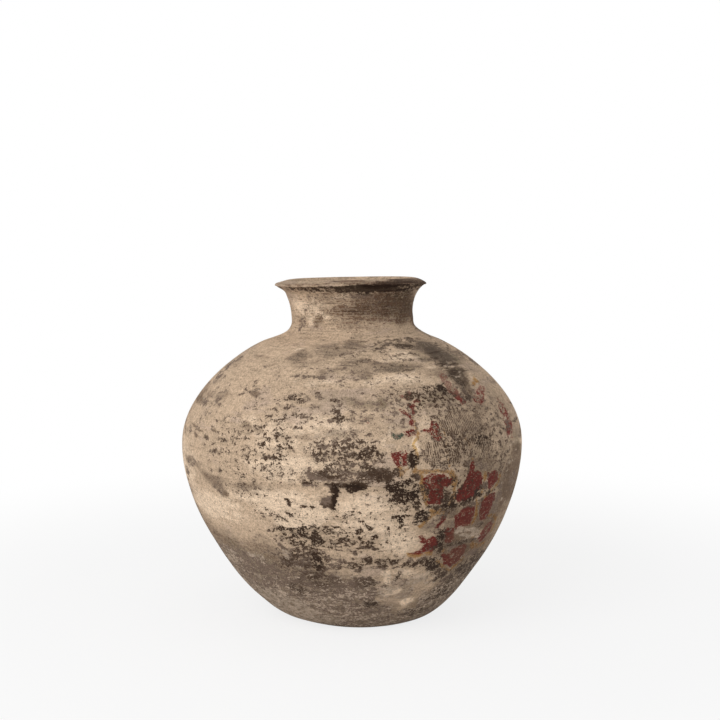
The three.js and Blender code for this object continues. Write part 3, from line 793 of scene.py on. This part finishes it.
def fields_at(points, angle, height, inside):
    """What the finish reads at each point: the strength of each kind of mark, and distances to lines."""
    jitter = rough(points, LOOSE), rough(points + APART[0], LOOSE)
    small = rough(points + APART[1], CLOSE, 2), rough(points + APART[2], CLOSE, 2)
    loose = angle + 1.8 * jitter[0], height + 2.6 * jitter[1]
    close = angle + 0.6 * jitter[0] + 0.4 * small[0], height + 0.9 * jitter[1] + 0.8 * small[1]
    worn = below(*loose, WORN_FOOT, 9) * WORN_SHARE
    soiled = below(*loose, SOILED_FOOT, 20) * SOILED_SHARE
    # painted shade under the lip, stronger to the right of the front
    eave = ramp(height, *EAVE_FOOT) * (1 - ramp(height - 1.3 * side(angle, 25, 40), *EAVE_TOP))
    fields = {
        "bare": np.maximum(np.maximum(marked(*close, BARE), marked(*loose, BACK_BARE)), worn),
        "veil": np.maximum(marked(*loose, VEIL_AND_SHADE + BACK_VEIL), soiled),
        "smoke": marked(*loose, SMOKE + BACK_SMOKE),
        "pale": marked(*loose, PALE_AND_LIGHT + BACK_PALE),
        "deep": marked(*loose, DEEP + BACK_DEEP),
        "dust": marked(*loose, DUST + BACK_DUST),
        "corded": marked(*loose, CORDED),
        "eave": eave * (1 - inside) * (0.42 + 0.72 * side(angle, 18, 40)),
        "chip": np.min([edge_distance(*close, outline) for outline in CHIPS], axis=0),
        "green": drawn(*close, GREENS)[0],
        "stroke": drawn(*close, STROKES)[0],
        "scratch": drawn(*close, SCRATCHES)[0],
    }
    fields["red"], fields["wear"] = drawn(*close, PANELS, closed=True)
    fields["ochre"], fields["ochre_wear"] = drawn(*close, BANDS)
    return fields


def wall_shift(points, angle, height, inside, fields):
    """How far each point moves out from the axis."""
    broad = rough(points, BROAD, 2)
    right = np.sin(np.radians(angle))
    outside = LUMPS * rough(points, LUMPY, 2) - SLIP_DEPTH * fields["bare"]
    outside -= CHIP_DEPTH * ramp(-fields["chip"], 0, CHIP_EDGE)
    tip = sum(out * bump(height, level, tall) for level, tall, out in TIP_SWELLS)
    outside += tip * side(angle, -90, 50)
    shift = WANDER * broad - SHRINK + (1 - inside) * outside
    shift += inside * RING_DEPTH * np.sin(height / RING_HEIGHT + 1.5 * broad)
    for level, tall, front, more in NECK_SWELLS:
        shift += bump(height, level, tall) * (front + more * right)
    return shift - FLAT_DEPTH * side(angle, -36, 26) * (1 - ramp(height, 0, FLAT_HEIGHT))


def settle(piece, s):
    """Gives a spun piece the unevenness of hand work, its chips and the fields that its finish reads."""
    points = points_of(piece)
    inside = values_of(piece, "inside")
    angle = np.degrees(np.arctan2(points[:, 0], -points[:, 1]))
    right = np.sin(np.radians(angle))
    height = points[:, 2] / MM
    radius = np.hypot(points[:, 0], points[:, 1])
    fields = fields_at(points, angle, height, inside)
    for name, values in fields.items():
        keep(piece, name, values)

    out = points[:, :2] / np.maximum(radius, SAME_PLACE)[:, None]
    shift = wall_shift(points, angle, height, inside, fields) * ramp(radius, 0, SOLE_MIDDLE * MM)
    points[:, :2] += out * shift[:, None] * MM

    # the lip is raised at the front, dips at the left and tilts, and the shoulder rises a little
    rim = ramp(height, s.waist_height / MM, JAR_TOP / MM)
    edge = ramp(radius / MM, *LIP_OUT) * ramp(height, *LIP_UP)
    crest = ramp(height, *CREST_UP)
    lift = 0.8 * edge * side(angle, 10, 45) - 1.2 * crest * side(angle, -75, 42)
    lift += bump(height, s.shoulder_height / MM, 14) * (0.2 + 0.1 * right)
    points[:, 2] += lift * MM
    points[:, 2] += rim * (0.25 * rough(points * (1, 1, 0.2), RIM, 2) - 0.45 + 0.25 * right) * MM

    # the foot and the neck stand to one side of the belly
    rise = ramp(height * MM, s.shoulder_height, s.waist_height)
    under = 1 - ramp(height * MM, 0, s.belly_height)
    points[:, 0] += s.foot_sway * under**2 + s.neck_sway * rise * rise * (3 - 2 * rise)
    points[:, 0] -= (1.3 * bump(height, 33, 18) + 0.8 * rim**2) * MM
    points[:, 2] = np.maximum(points[:, 2], 0)
    piece.data.vertices.foreach_set("co", points.astype(np.float32).ravel())
    piece.data.update()
    bpy.ops.object.select_all(action="DESELECT")
    piece.select_set(True)
    bpy.context.view_layer.objects.active = piece
    bpy.ops.object.shade_smooth_by_angle(angle=SHADE_ANGLE)


# Finishes

FIRED = "worn slip and paint"
SMEARED = "smeared bare clay"
SHEEN = 0.15
RELIEF = 0.6 * MM

# Heights in millimetres between which a look sets in
SHOULDER = (185, 212)
NECK = (225, 240)
UNDER_LIP = (250, 260)
NEAR_FOOT = (30, 75)
FADED_PANELS = (183, 195)

# Paddle marks: the radius of the wall in millimetres, cord waves in radians a millimetre, and their lean
PADDLED_RADIUS = 135.0
CORD_WAVES = 3.6
CORD_LEAN = 0.12


class Wire:
    """A socket whose sums, differences and products are Math nodes."""

    def __init__(self, bench, socket):
        self.bench, self.socket = bench, socket

    def __add__(self, other):
        return self.bench.maths("ADD", self, other)

    def __radd__(self, other):
        return self.bench.maths("ADD", other, self)

    def __sub__(self, other):
        return self.bench.maths("SUBTRACT", self, other)

    def __rsub__(self, other):
        return self.bench.maths("SUBTRACT", other, self)

    def __mul__(self, other):
        return self.bench.maths("MULTIPLY", self, other)

    def most(self, other):
        return self.bench.maths("MAXIMUM", self, other)


class Bench:
    """Adds nodes to one material or world."""

    def __init__(self, owner):
        owner.use_nodes = True
        self.owner, self.tree = owner, owner.node_tree

    def feed(self, socket, value):
        if isinstance(value, Wire):
            self.tree.links.new(value.socket, socket)
        elif hasattr(socket.default_value, "__len__") and len(socket.default_value) == len(value) + 1:
            socket.default_value = (*value, 1)
        else:
            socket.default_value = value

    def fill(self, node, **named):
        for key, value in named.items():
            self.feed(node.inputs[key.replace("_", " ")], value)

    def node(self, kind, settings, *values, out=0, **named):
        """A new node's output. Values fill its sockets in order, and None leaves one as it is."""
        node = self.tree.nodes.new(kind)
        for key, value in settings.items():
            setattr(node, key, value)
        for socket, value in zip(node.inputs, values):
            if value is not None:
                self.feed(socket, value)
        self.fill(node, **named)
        return Wire(self, node.outputs[out])

    def maths(self, operation, *values):
        return self.node("ShaderNodeMath", {"operation": operation}, *values)

    def vector(self, operation, *values, **named):
        return self.node("ShaderNodeVectorMath", {"operation": operation}, *values, **named)

    def field(self, name):
        settings = {"attribute_name": name, "attribute_type": "GEOMETRY"}
        return self.node("ShaderNodeAttribute", settings, out="Fac")

    def place(self):
        return self.node("ShaderNodeTexCoord", {}, out="Object")

    def millimetres(self):
        return self.vector("SCALE", self.place(), Scale=1 / MM)

    def axes(self, vector):
        parts = self.node("ShaderNodeSeparateXYZ", {}, vector)
        return [Wire(self, output) for output in parts.socket.node.outputs]

    def grit(self, mm, size, detail, roughness, flat=1, shift=(0, 0, 0), distortion=0.0):
        """Noise from about -0.5 to 0.5. Its features are size millimetres wide, and flat times less high."""
        place = self.node("ShaderNodeMapping", {}, Vector=mm, Scale=(1, 1, flat), Location=shift)
        return self.node(
            "ShaderNodeTexNoise", {}, Vector=place, Scale=1 / size, Detail=detail,
            Roughness=roughness, Distortion=distortion,
        ) - 0.5

    def step(self, value, low, high):
        """0 below low, 1 above high, smooth between."""
        settings = {"interpolation_type": "SMOOTHSTEP"}
        return self.node("ShaderNodeMapRange", settings, value, low, high, 0.0, 1.0)

    def blend(self, share, first, second, mode="MIX"):
        settings = {"data_type": "RGBA", "blend_type": mode}
        return self.node("ShaderNodeMix", settings, share, *[None] * 5, first, second, out=2)

    def finish(self, colour, roughness, relief):
        bump = self.node("ShaderNodeBump", {}, Strength=1.0, Distance=RELIEF, Height=relief)
        self.fill(
            self.tree.nodes["Principled BSDF"], Base_Color=colour, Roughness=roughness,
            Specular_IOR_Level=SHEEN, Normal=bump,
        )
        return self.owner

    def seen(self):
        """1 where the camera looks, straight, by reflection or through glass, and 0 for light on the jar."""
        rays = [
            self.node("ShaderNodeLightPath", {}, out=f"Is {kind} Ray")
            for kind in ("Camera", "Glossy", "Transmission")
        ]
        return rays[0].most(rays[1]).most(rays[2])


def fired_surface(f):
    """Smoked clay under flaking slip, dirt, smoke and the traces of painted panels."""
    b = Bench(bpy.data.materials.new(FIRED))
    mm = b.millimetres()
    across, depth, up = b.axes(mm)

    # grains of many sizes, some of them drawn out along the turning of the jar
    cloud = b.grit(mm, 45, 3, 0.55)
    blotch = b.grit(mm, 7, 6, 0.68, 1.6, distortion=0.3)
    mottle = b.grit(mm, 4.5, 5, 0.66, 1.4, (11, 63, 29))
    crumb = b.grit(mm, 2.4, 5, 0.8, 1.3)
    speck = b.grit(mm, 1.5, 3, 0.65, 1.2, (40, 17, 5))
    streak = b.grit(mm, 30, 6, 0.64, 7)
    thread = b.grit(mm, 26, 6, 0.72, 22, (3, 70, 9))
    silt = b.grit(mm, 4, 4, 0.6, 1.6, (31, 8, 55))
    brush = b.grit(mm, 3.4, 4, 0.6, 0.28)
    fine = b.grit(mm, 0.9, 2, 0.5)

    bare, veil, smoke, pale = b.field("bare"), b.field("veil"), b.field("smoke"), b.field("pale")
    dust, deep, wear = b.field("dust"), b.field("deep"), b.field("wear")
    corded = b.step(b.field("corded") + blotch * 2.6 + silt * 2.4, 0.4, 0.8)
    high, shoulder, low = b.step(up, *NECK), b.step(up, *SHOULDER), 1 - b.step(up, *NEAR_FOOT)
    turning = thread * (shoulder + high * 0.6)

    # slip, thick or rubbed
    thick = b.step(pale + blotch * 1.3 + cloud * 1.2 + streak * 0.6, 0.25, 0.85)
    slip = b.blend(thick, f.tan, f.cream)
    thin = b.step(cloud + streak * 0.9 + crumb * 0.3 - pale * 0.25, 0.0, 0.2)
    slip = b.blend(thin * 0.5, slip, f.pink)

    # soft dirt, then dirt in specks
    # the neck darkens in vertical streaks towards the lip
    streaks_under_lip = brush * b.step(up, *UNDER_LIP) * 0.9
    # the dirt field also carries painted shade on the right side
    cover = veil.most(0.15) + streaks_under_lip - pale * 0.2 + streak * (0.9 + shoulder * 0.9)
    cover = cover + turning * 1.6 + mottle * 1.1 + crumb * 0.6
    dirt = b.blend(b.step(cloud + silt, 0.0, 0.2), f.veil, f.olive)
    slip = b.blend(b.step(cover, 0.12, 0.8) * 0.8, slip, dirt)
    grime = veil * 0.9 + streaks_under_lip - pale * 0.15 + blotch * 1.2 + (crumb * 1.8 + speck * 1.5) * (1 + high * 0.8)
    grime = b.step(grime + streak * 0.8 + turning * 1.4, 0.52, 0.64)
    slip = b.blend(grime * 0.75, slip, b.blend(shoulder, f.deep_veil, b.blend(high, f.ash, f.rust)))

    # paint, worn away in specks and patches
    wobble = crumb * 6 + blotch * 7 + speck * 3 + 0.1
    rubbed = wear * 0.8 + speck * 1.6 + mottle * 2.4 + blotch * 0.8 + crumb * 1.6
    flecks = b.step(speck * 1.2 + fine + mottle * 0.5, 0.19, 0.23)
    red = b.step(wobble - b.field("red"), -0.25, 0.25) * (1 - b.step(rubbed, 0.4, 0.5)) * (1 - flecks)
    ochre_rubbed = b.field("ochre_wear") + speck * 2.2 + blotch * 1.2 + crumb * 1.4
    ochre = b.step(wobble - b.field("ochre"), -0.7, 0.0) * (1 - b.step(ochre_rubbed, 0.34, 0.46))
    green = b.step(wobble - b.field("green"), -0.3, 0.3)
    fading = wear + crumb * 1.6 + mottle * 1.8 + streak * 0.8
    red_paint = b.blend(b.step(fading, 0.3, 0.8), f.red, f.bright_red)
    ochre_paint = b.blend(b.step(crumb * 1.4 + mottle + pale * 0.6, 0.15, 0.6), f.ochre, f.pale_ochre)
    surface = b.blend(ochre * 0.85, slip, ochre_paint)
    surface = b.blend(red * (0.95 - b.step(up, *FADED_PANELS) * 0.35), surface, red_paint)
    surface = b.blend(green * 0.9, surface, f.green)
    grimy = b.step(veil + crumb * 1.1 + streak * 0.8, 0.45, 1.1)
    surface = b.blend(grimy * (red + ochre) * 0.5, surface, f.deep_veil)

    # clay, with soot on it and pale dust in its hollows
    fire = deep + low * 0.22 + blotch * 1.4 + crumb * 2.2 + silt * 0.7 + speck + streak * 0.6
    clay = b.blend(b.step(fire, 0.25, 0.75), f.clay, f.dark_clay)
    clay = b.blend(b.step(deep + crumb * 1.6 + silt * 0.6, 0.7, 1.05), clay, f.smoke)
    dusty = dust.most(low * 0.4) + silt * 1.2 + crumb * 1.5 + speck * 1.4 + blotch + streak * 0.7
    clay = b.blend(b.step(dusty, 0.41, 0.59) * 0.78, clay, f.dust)
    sooted = b.step(smoke + blotch * 0.7 + crumb * 0.9, 0.3, 0.8)
    clay = b.blend(sooted * 0.9, clay, f.smoke)

    # flaking: a sharp edge where the loss passes a level, a painted highlight along the slip's edge, small
    # pits, and the deep chips
    loss = bare * 0.88 + 0.06 + blotch * 1.3 + mottle * 1.5 + crumb * 1.7 + brush * (0.5 + corded * 1.6)
    loss = loss - red * 0.06 - pale * 0.07 + (speck + fine * 0.6) * (0.8 + deep * 0.8)
    pits = b.step(speck + crumb * 0.5 + (bare + veil * 0.5 + high * 0.5) * 0.12, 0.2, 0.22)
    dug = b.step(crumb * 8 + blotch * 6 + speck * 4 - b.field("chip"), -0.3, 0.1)
    gone = b.step(loss, 0.486, 0.504).most(pits * 0.9).most(dug)
    smudge = b.step(
        smoke + streak * 0.9 + turning * 2.6 + blotch * 0.8 + crumb * 0.9 + speck * 0.6, 0.4, 0.95
    )
    scratch = b.step(crumb * 5 + mottle * 5 - b.field("scratch"), -0.4, 0.2)
    surface = b.blend((smudge * 0.85).most(scratch * (0.8 - high * 0.4)), surface, f.smoke)
    # a pale rim painted round each flake as a highlight on the slip's edge
    surface = b.blend(b.step(loss, 0.34, 0.47) * (1 - red) * 0.4, surface, f.cream)
    surface = b.blend(gone, surface, clay)
    stroke = b.step(crumb * 4 + mottle * 5 - b.field("stroke"), -0.3, 0.3)
    surface = b.blend(stroke * 0.7, surface, b.blend(b.step(veil, 0.3, 0.7).most(low), f.cream, f.dust))

    # uneven tone, and painted shade under the lip
    tone = 1 + streak * (0.8 + shoulder * 0.5) + turning * 1.4 + speck * 1.4 + crumb * 1.7 + silt * 0.6
    tone = tone + fine * 0.7 + (low + b.step(veil, 0.3, 1.0) * 0.9) * (blotch * 0.9 + mottle * 0.8)
    grey = b.node("ShaderNodeCombineColor", {}, tone, tone, tone)
    surface = b.blend(1.0, surface, grey, "MULTIPLY")
    # painted shade under the lip
    eave = b.step(b.field("eave") + crumb * 2.4 + streak * 1.2 + mottle * 1.8, 0.36, 0.84)
    surface = b.blend(eave * 0.9, surface, f.under_lip_shade)

    # paddle marks
    arc = b.maths("ARCTAN2", across, 0 - depth) * PADDLED_RADIUS
    wave = b.maths("SINE", (arc + up * CORD_LEAN) * CORD_WAVES + blotch * 16 + silt * 6)
    cords = b.step(wave * 0.5 + crumb * 2.0 + speck, -0.1, 0.4) * corded
    ridges = b.step(crumb * 2.0 - wave * 0.5 - speck, 0.0, 0.4) * corded
    surface = b.blend(cords * 0.62 * (1 - red), surface, f.deep_veil)
    surface = b.blend(ridges * 0.7 * (1 - red), surface, f.tan)

    # the inside is bare
    inner = b.blend(b.step(streak, -0.1, 0.1), f.inner, f.clay)
    within = b.step(b.field("inside") + blotch * 0.5, 0.35, 0.65)
    surface = b.blend(within, surface, inner)

    relief = crumb * 0.5 + fine * 0.4 + streak * 0.6 + turning * 0.5 - gone * 0.5 - cords * 0.35
    return b.finish(surface, 0.92 - gone * 0.12 - red * 0.15, relief)


def bare_clay(f):
    """Unslipped clay smeared with the fingers."""
    b = Bench(bpy.data.materials.new(SMEARED))
    mm = b.millimetres()
    streak = b.grit(mm, 22, 5, 0.6, 6)
    crumb = b.grit(mm, 1.8, 4, 0.6)
    clay = b.blend(b.step(streak * 0.6 + crumb * 0.4, -0.1, 0.1), f.clay, f.inner)
    return b.finish(clay, 0.95, streak * 0.6 + crumb * 0.5)


def finish_piece(piece, node, slot):
    """Gives a finished piece its material and seats it on its body in place of its node."""
    name, make = (SMEARED, bare_clay) if slot == "bare_clay" else (FIRED, fired_surface)
    material = bpy.data.materials.get(name) or make(bpy.context.scene.jar_finish)
    piece.data.materials.append(material)
    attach(piece, BODY)
    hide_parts(node)


# Pieces

INNER_ROWS = 2.4


def wall_ring(node, s, low, high, low_step, high_step):
    """A ring of wall between two seams, each given by its outer height and by its step."""
    surface = outer_surface(s)
    outer = spaced(between(surface, low, high), s.row)
    inner = between(offset(surface, s.wall), low + low_step, high + high_step)
    inner = spaced(inner, INNER_ROWS * s.row)[::-1]
    inside = [0] * len(outer) + [1] * len(inner)
    piece = spun(node + "_clay", np.vstack([outer, inner]), inside, s.steps)
    settle(piece, s)
    finish_piece(piece, node, "worn_slip")


def coil(node, s, seat, free):
    """A coil pressed into a seam, between its seat on the wall and its free side."""
    inside = [1] * (len(seat) + len(free))
    piece = spun(node + "_clay", np.vstack([seat, free]), inside, s.steps // 2)
    settle(piece, s)
    finish_piece(piece, node, "bare_clay")


class JAR_OT_foot_slab(bpy.types.Operator):
    """Adds the flat slab that the jar stands on"""

    bl_idname = "jar.foot_slab"
    bl_label = "Foot slab"

    def execute(self, context):
        s = context.scene.jar_shape
        sole = spaced(np.array([(0, 0), (s.foot_radius, 0)]), 2 * s.row)
        edge = spaced(between(outer_surface(s), 0, FOOT_TOP), s.row)[1:]
        top = spaced(np.array([edge[-1], (0, edge[-1][1])]), 3 * s.row)[1:]
        inside = [0] * (len(sole) + len(edge)) + [1] * len(top)
        piece = spun("foot_slab_clay", np.vstack([sole, edge, top]), inside, s.steps, closed=False)
        settle(piece, s)
        finish_piece(piece, "foot_slab", "smoked_clay")
        return {"FINISHED"}


class JAR_OT_walls(bpy.types.Operator):
    """Adds the bowl, the dome and the neck"""

    bl_idname = "jar.walls"
    bl_label = "Walls"

    def execute(self, context):
        s = context.scene.jar_shape
        wall_ring("lower_bowl", s, FOOT_TOP, s.belly_seam, 0, BELLY_STEP)
        wall_ring("shoulder_dome", s, s.belly_seam, s.neck_seam, BELLY_STEP, NECK_STEP)
        wall_ring("neck_collar", s, s.neck_seam, s.lip_seam, NECK_STEP, LIP_STEP)
        return {"FINISHED"}


class JAR_OT_lip(bpy.types.Operator):
    """Adds the turned-out lip"""

    bl_idname = "jar.lip"
    bl_label = "Lip"
    MOUTH_DEPTH = 8 * MM

    def execute(self, context):
        s = context.scene.jar_shape
        surface = outer_surface(s)
        edge = surface[-1]
        under = spaced(between(surface, s.lip_seam, edge[1]), 0.5 * s.row)
        throat = between(offset(surface, s.wall), s.lip_seam + LIP_STEP, s.lip_height)[0]
        tip = (s.lip_radius, s.lip_height)
        crest = (s.crest_radius, JAR_TOP)
        corner = (s.lip_radius, edge[1])
        over = joined(
            bezier(edge, corner, corner, tip, 40),
            bezier(tip, (s.lip_radius, s.lip_height + s.lip_edge),
                   (s.crest_radius + s.crest_run, JAR_TOP), crest),
        )
        mouth = bezier(crest, (s.crest_radius - s.mouth_run, JAR_TOP),
                       (throat[0], throat[1] + s.wall), throat)
        over, mouth = spaced(over, 0.5 * s.row)[1:], spaced(mouth, s.row)[1:]
        depth = ramp(JAR_TOP - mouth[:, 1], 0, self.MOUTH_DEPTH)
        inside = [0] * (len(under) + len(over)) + list(depth)
        piece = spun("lip_clay", np.vstack([under, over, mouth]), inside, s.steps)
        settle(piece, s)
        finish_piece(piece, "lip", "worn_slip")
        return {"FINISHED"}


class JAR_OT_joint_coils(bpy.types.Operator):
    """Adds the coils smeared over the joints, inside the jar"""

    bl_idname = "jar.joint_coils"
    bl_label = "Joint coils"
    FOOT_RISE = 15 * MM
    FOOT_REACH = 16 * MM
    FOOT_HOLLOW = 3 * MM

    def execute(self, context):
        s = context.scene.jar_shape
        back = offset(outer_surface(s), s.wall)
        seat = spaced(between(back, FOOT_TOP, FOOT_TOP + self.FOOT_RISE), s.row)
        heel, head = seat[0], seat[-1]
        dip = heel + (-self.FOOT_HOLLOW, self.FOOT_HOLLOW)
        hollow = bezier(head, dip, dip, heel - (self.FOOT_REACH, 0))
        coil("foot_joint_coil", s, seat, spaced(hollow, s.row)[1:])
        straps = (
            ("belly_joint_coil", s.belly_seam + BELLY_STEP, 14 * MM, 4 * MM),
            ("neck_joint_coil", s.neck_seam + NECK_STEP, 9 * MM, 2.5 * MM),
        )
        for node, middle, reach, swell in straps:
            seat = spaced(between(back, middle - reach, middle + reach), s.row)
            free = offset(seat, swell * np.sin(np.linspace(0, math.pi, len(seat))))
            coil(node, s, seat, free[::-1][1:-1])
        return {"FINISHED"}


class JAR_OT_stage(bpy.types.Operator):
    """Adds the floor, lamps, sky and camera"""

    bl_idname = "jar.stage"
    bl_label = "Stage"
    AIM = Vector((0, 0, 0.14))
    FLOOR_GREY = (0.85, 0.85, 0.85)
    WHITE = (1, 1, 1)
    FLOOR_FADE = (0.25, 0.7)
    SENSOR_WIDTH = 36

    def execute(self, context):
        g = context.scene.jar_stage
        self.floor(g)
        self.sky(g)
        self.lamp("key", (-1.0, -1.15, 1.15), 1.3, g.key_power)
        self.lamp("fill", (1.3, -0.7, 0.6), 1.2, g.fill_power)
        self.camera(g)
        context.scene.view_settings.view_transform = "Standard"
        return {"FINISHED"}

    def floor(self, g):
        """A pale floor that fades to plain white away from the jar."""
        bpy.ops.object.select_all(action="DESELECT")
        bpy.ops.mesh.primitive_plane_add(size=g.floor_size)
        floor = bpy.context.object
        floor.name = "floor"
        b = Bench(bpy.data.materials.new("pale floor"))
        shader = b.tree.nodes["Principled BSDF"]
        b.fill(shader, Base_Color=self.FLOOR_GREY, Roughness=0.9, Specular_IOR_Level=0.0)
        far = b.step(b.vector("LENGTH", b.place(), out="Value"), *self.FLOOR_FADE)
        white = b.node("ShaderNodeEmission", {}, Color=self.WHITE, Strength=1.0)
        share = b.seen() * (0.8 + far * 0.2)
        mixed = b.node("ShaderNodeMixShader", {}, share, Wire(b, shader.outputs[0]), white)
        b.fill(b.tree.nodes["Material Output"], Surface=mixed)
        floor.data.materials.append(b.owner)

    def sky(self, g):
        """White to look at, and dimmer as light on the jar."""
        world = bpy.data.worlds.new("pale sky")
        bpy.context.scene.world = world
        b = Bench(world)
        b.fill(b.tree.nodes["Background"], Color=self.WHITE, Strength=b.seen() * (1 - g.sky) + g.sky)

    def lamp(self, name, place, size, power):
        turn = (self.AIM - Vector(place)).to_track_quat("-Z", "Y").to_euler()
        bpy.ops.object.light_add(type="AREA", location=place, rotation=turn)
        lamp = bpy.context.object
        lamp.name = name
        lamp.data.size = size
        lamp.data.energy = power

    def camera(self, g):
        down, right, clockwise = (math.radians(value) for value in g.camera_tilt)
        turn = (
            Matrix.Rotation(-right, 4, "Z")
            @ Matrix.Rotation(math.pi / 2 - down, 4, "X")
            @ Matrix.Rotation(-clockwise, 4, "Z")
        )
        bpy.ops.object.camera_add(location=(0, -g.camera_back, g.camera_height), rotation=turn.to_euler())
        camera = bpy.context.object
        camera.data.lens = g.camera_lens
        camera.data.sensor_width = self.SENSOR_WIDTH
        bpy.context.scene.camera = camera


class JAR_PT_panel(bpy.types.Panel):
    """Lists the jar's sizes, colours and pieces"""

    bl_label = "Earthenware jar"
    bl_idname = "JAR_PT_panel"
    bl_space_type = "VIEW_3D"
    bl_region_type = "UI"
    bl_category = "Jar"

    def draw(self, context):
        for name, group in GROUPS.items():
            box = self.layout.box()
            for setting in group.__annotations__:
                box.prop(getattr(context.scene, name), setting)
        for operator in OPERATORS:
            self.layout.operator(operator.bl_idname)


GROUPS = {"jar_shape": JarShape, "jar_finish": JarFinish, "jar_stage": JarStage}
OPERATORS = (JAR_OT_foot_slab, JAR_OT_walls, JAR_OT_lip, JAR_OT_joint_coils, JAR_OT_stage)
CLASSES = (*GROUPS.values(), *OPERATORS, JAR_PT_panel)


def register():
    for item in CLASSES:
        bpy.utils.register_class(item)
    for name, group in GROUPS.items():
        setattr(bpy.types.Scene, name, bpy.props.PointerProperty(type=group))


def unregister():
    for name in GROUPS:
        delattr(bpy.types.Scene, name)
    for item in reversed(CLASSES):
        bpy.utils.unregister_class(item)


def main():
    register()
    bpy.ops.jar.stage()
    bpy.ops.jar.foot_slab()
    bpy.ops.jar.walls()
    bpy.ops.jar.lip()
    bpy.ops.jar.joint_coils()


if __name__ == "__main__":
    main()
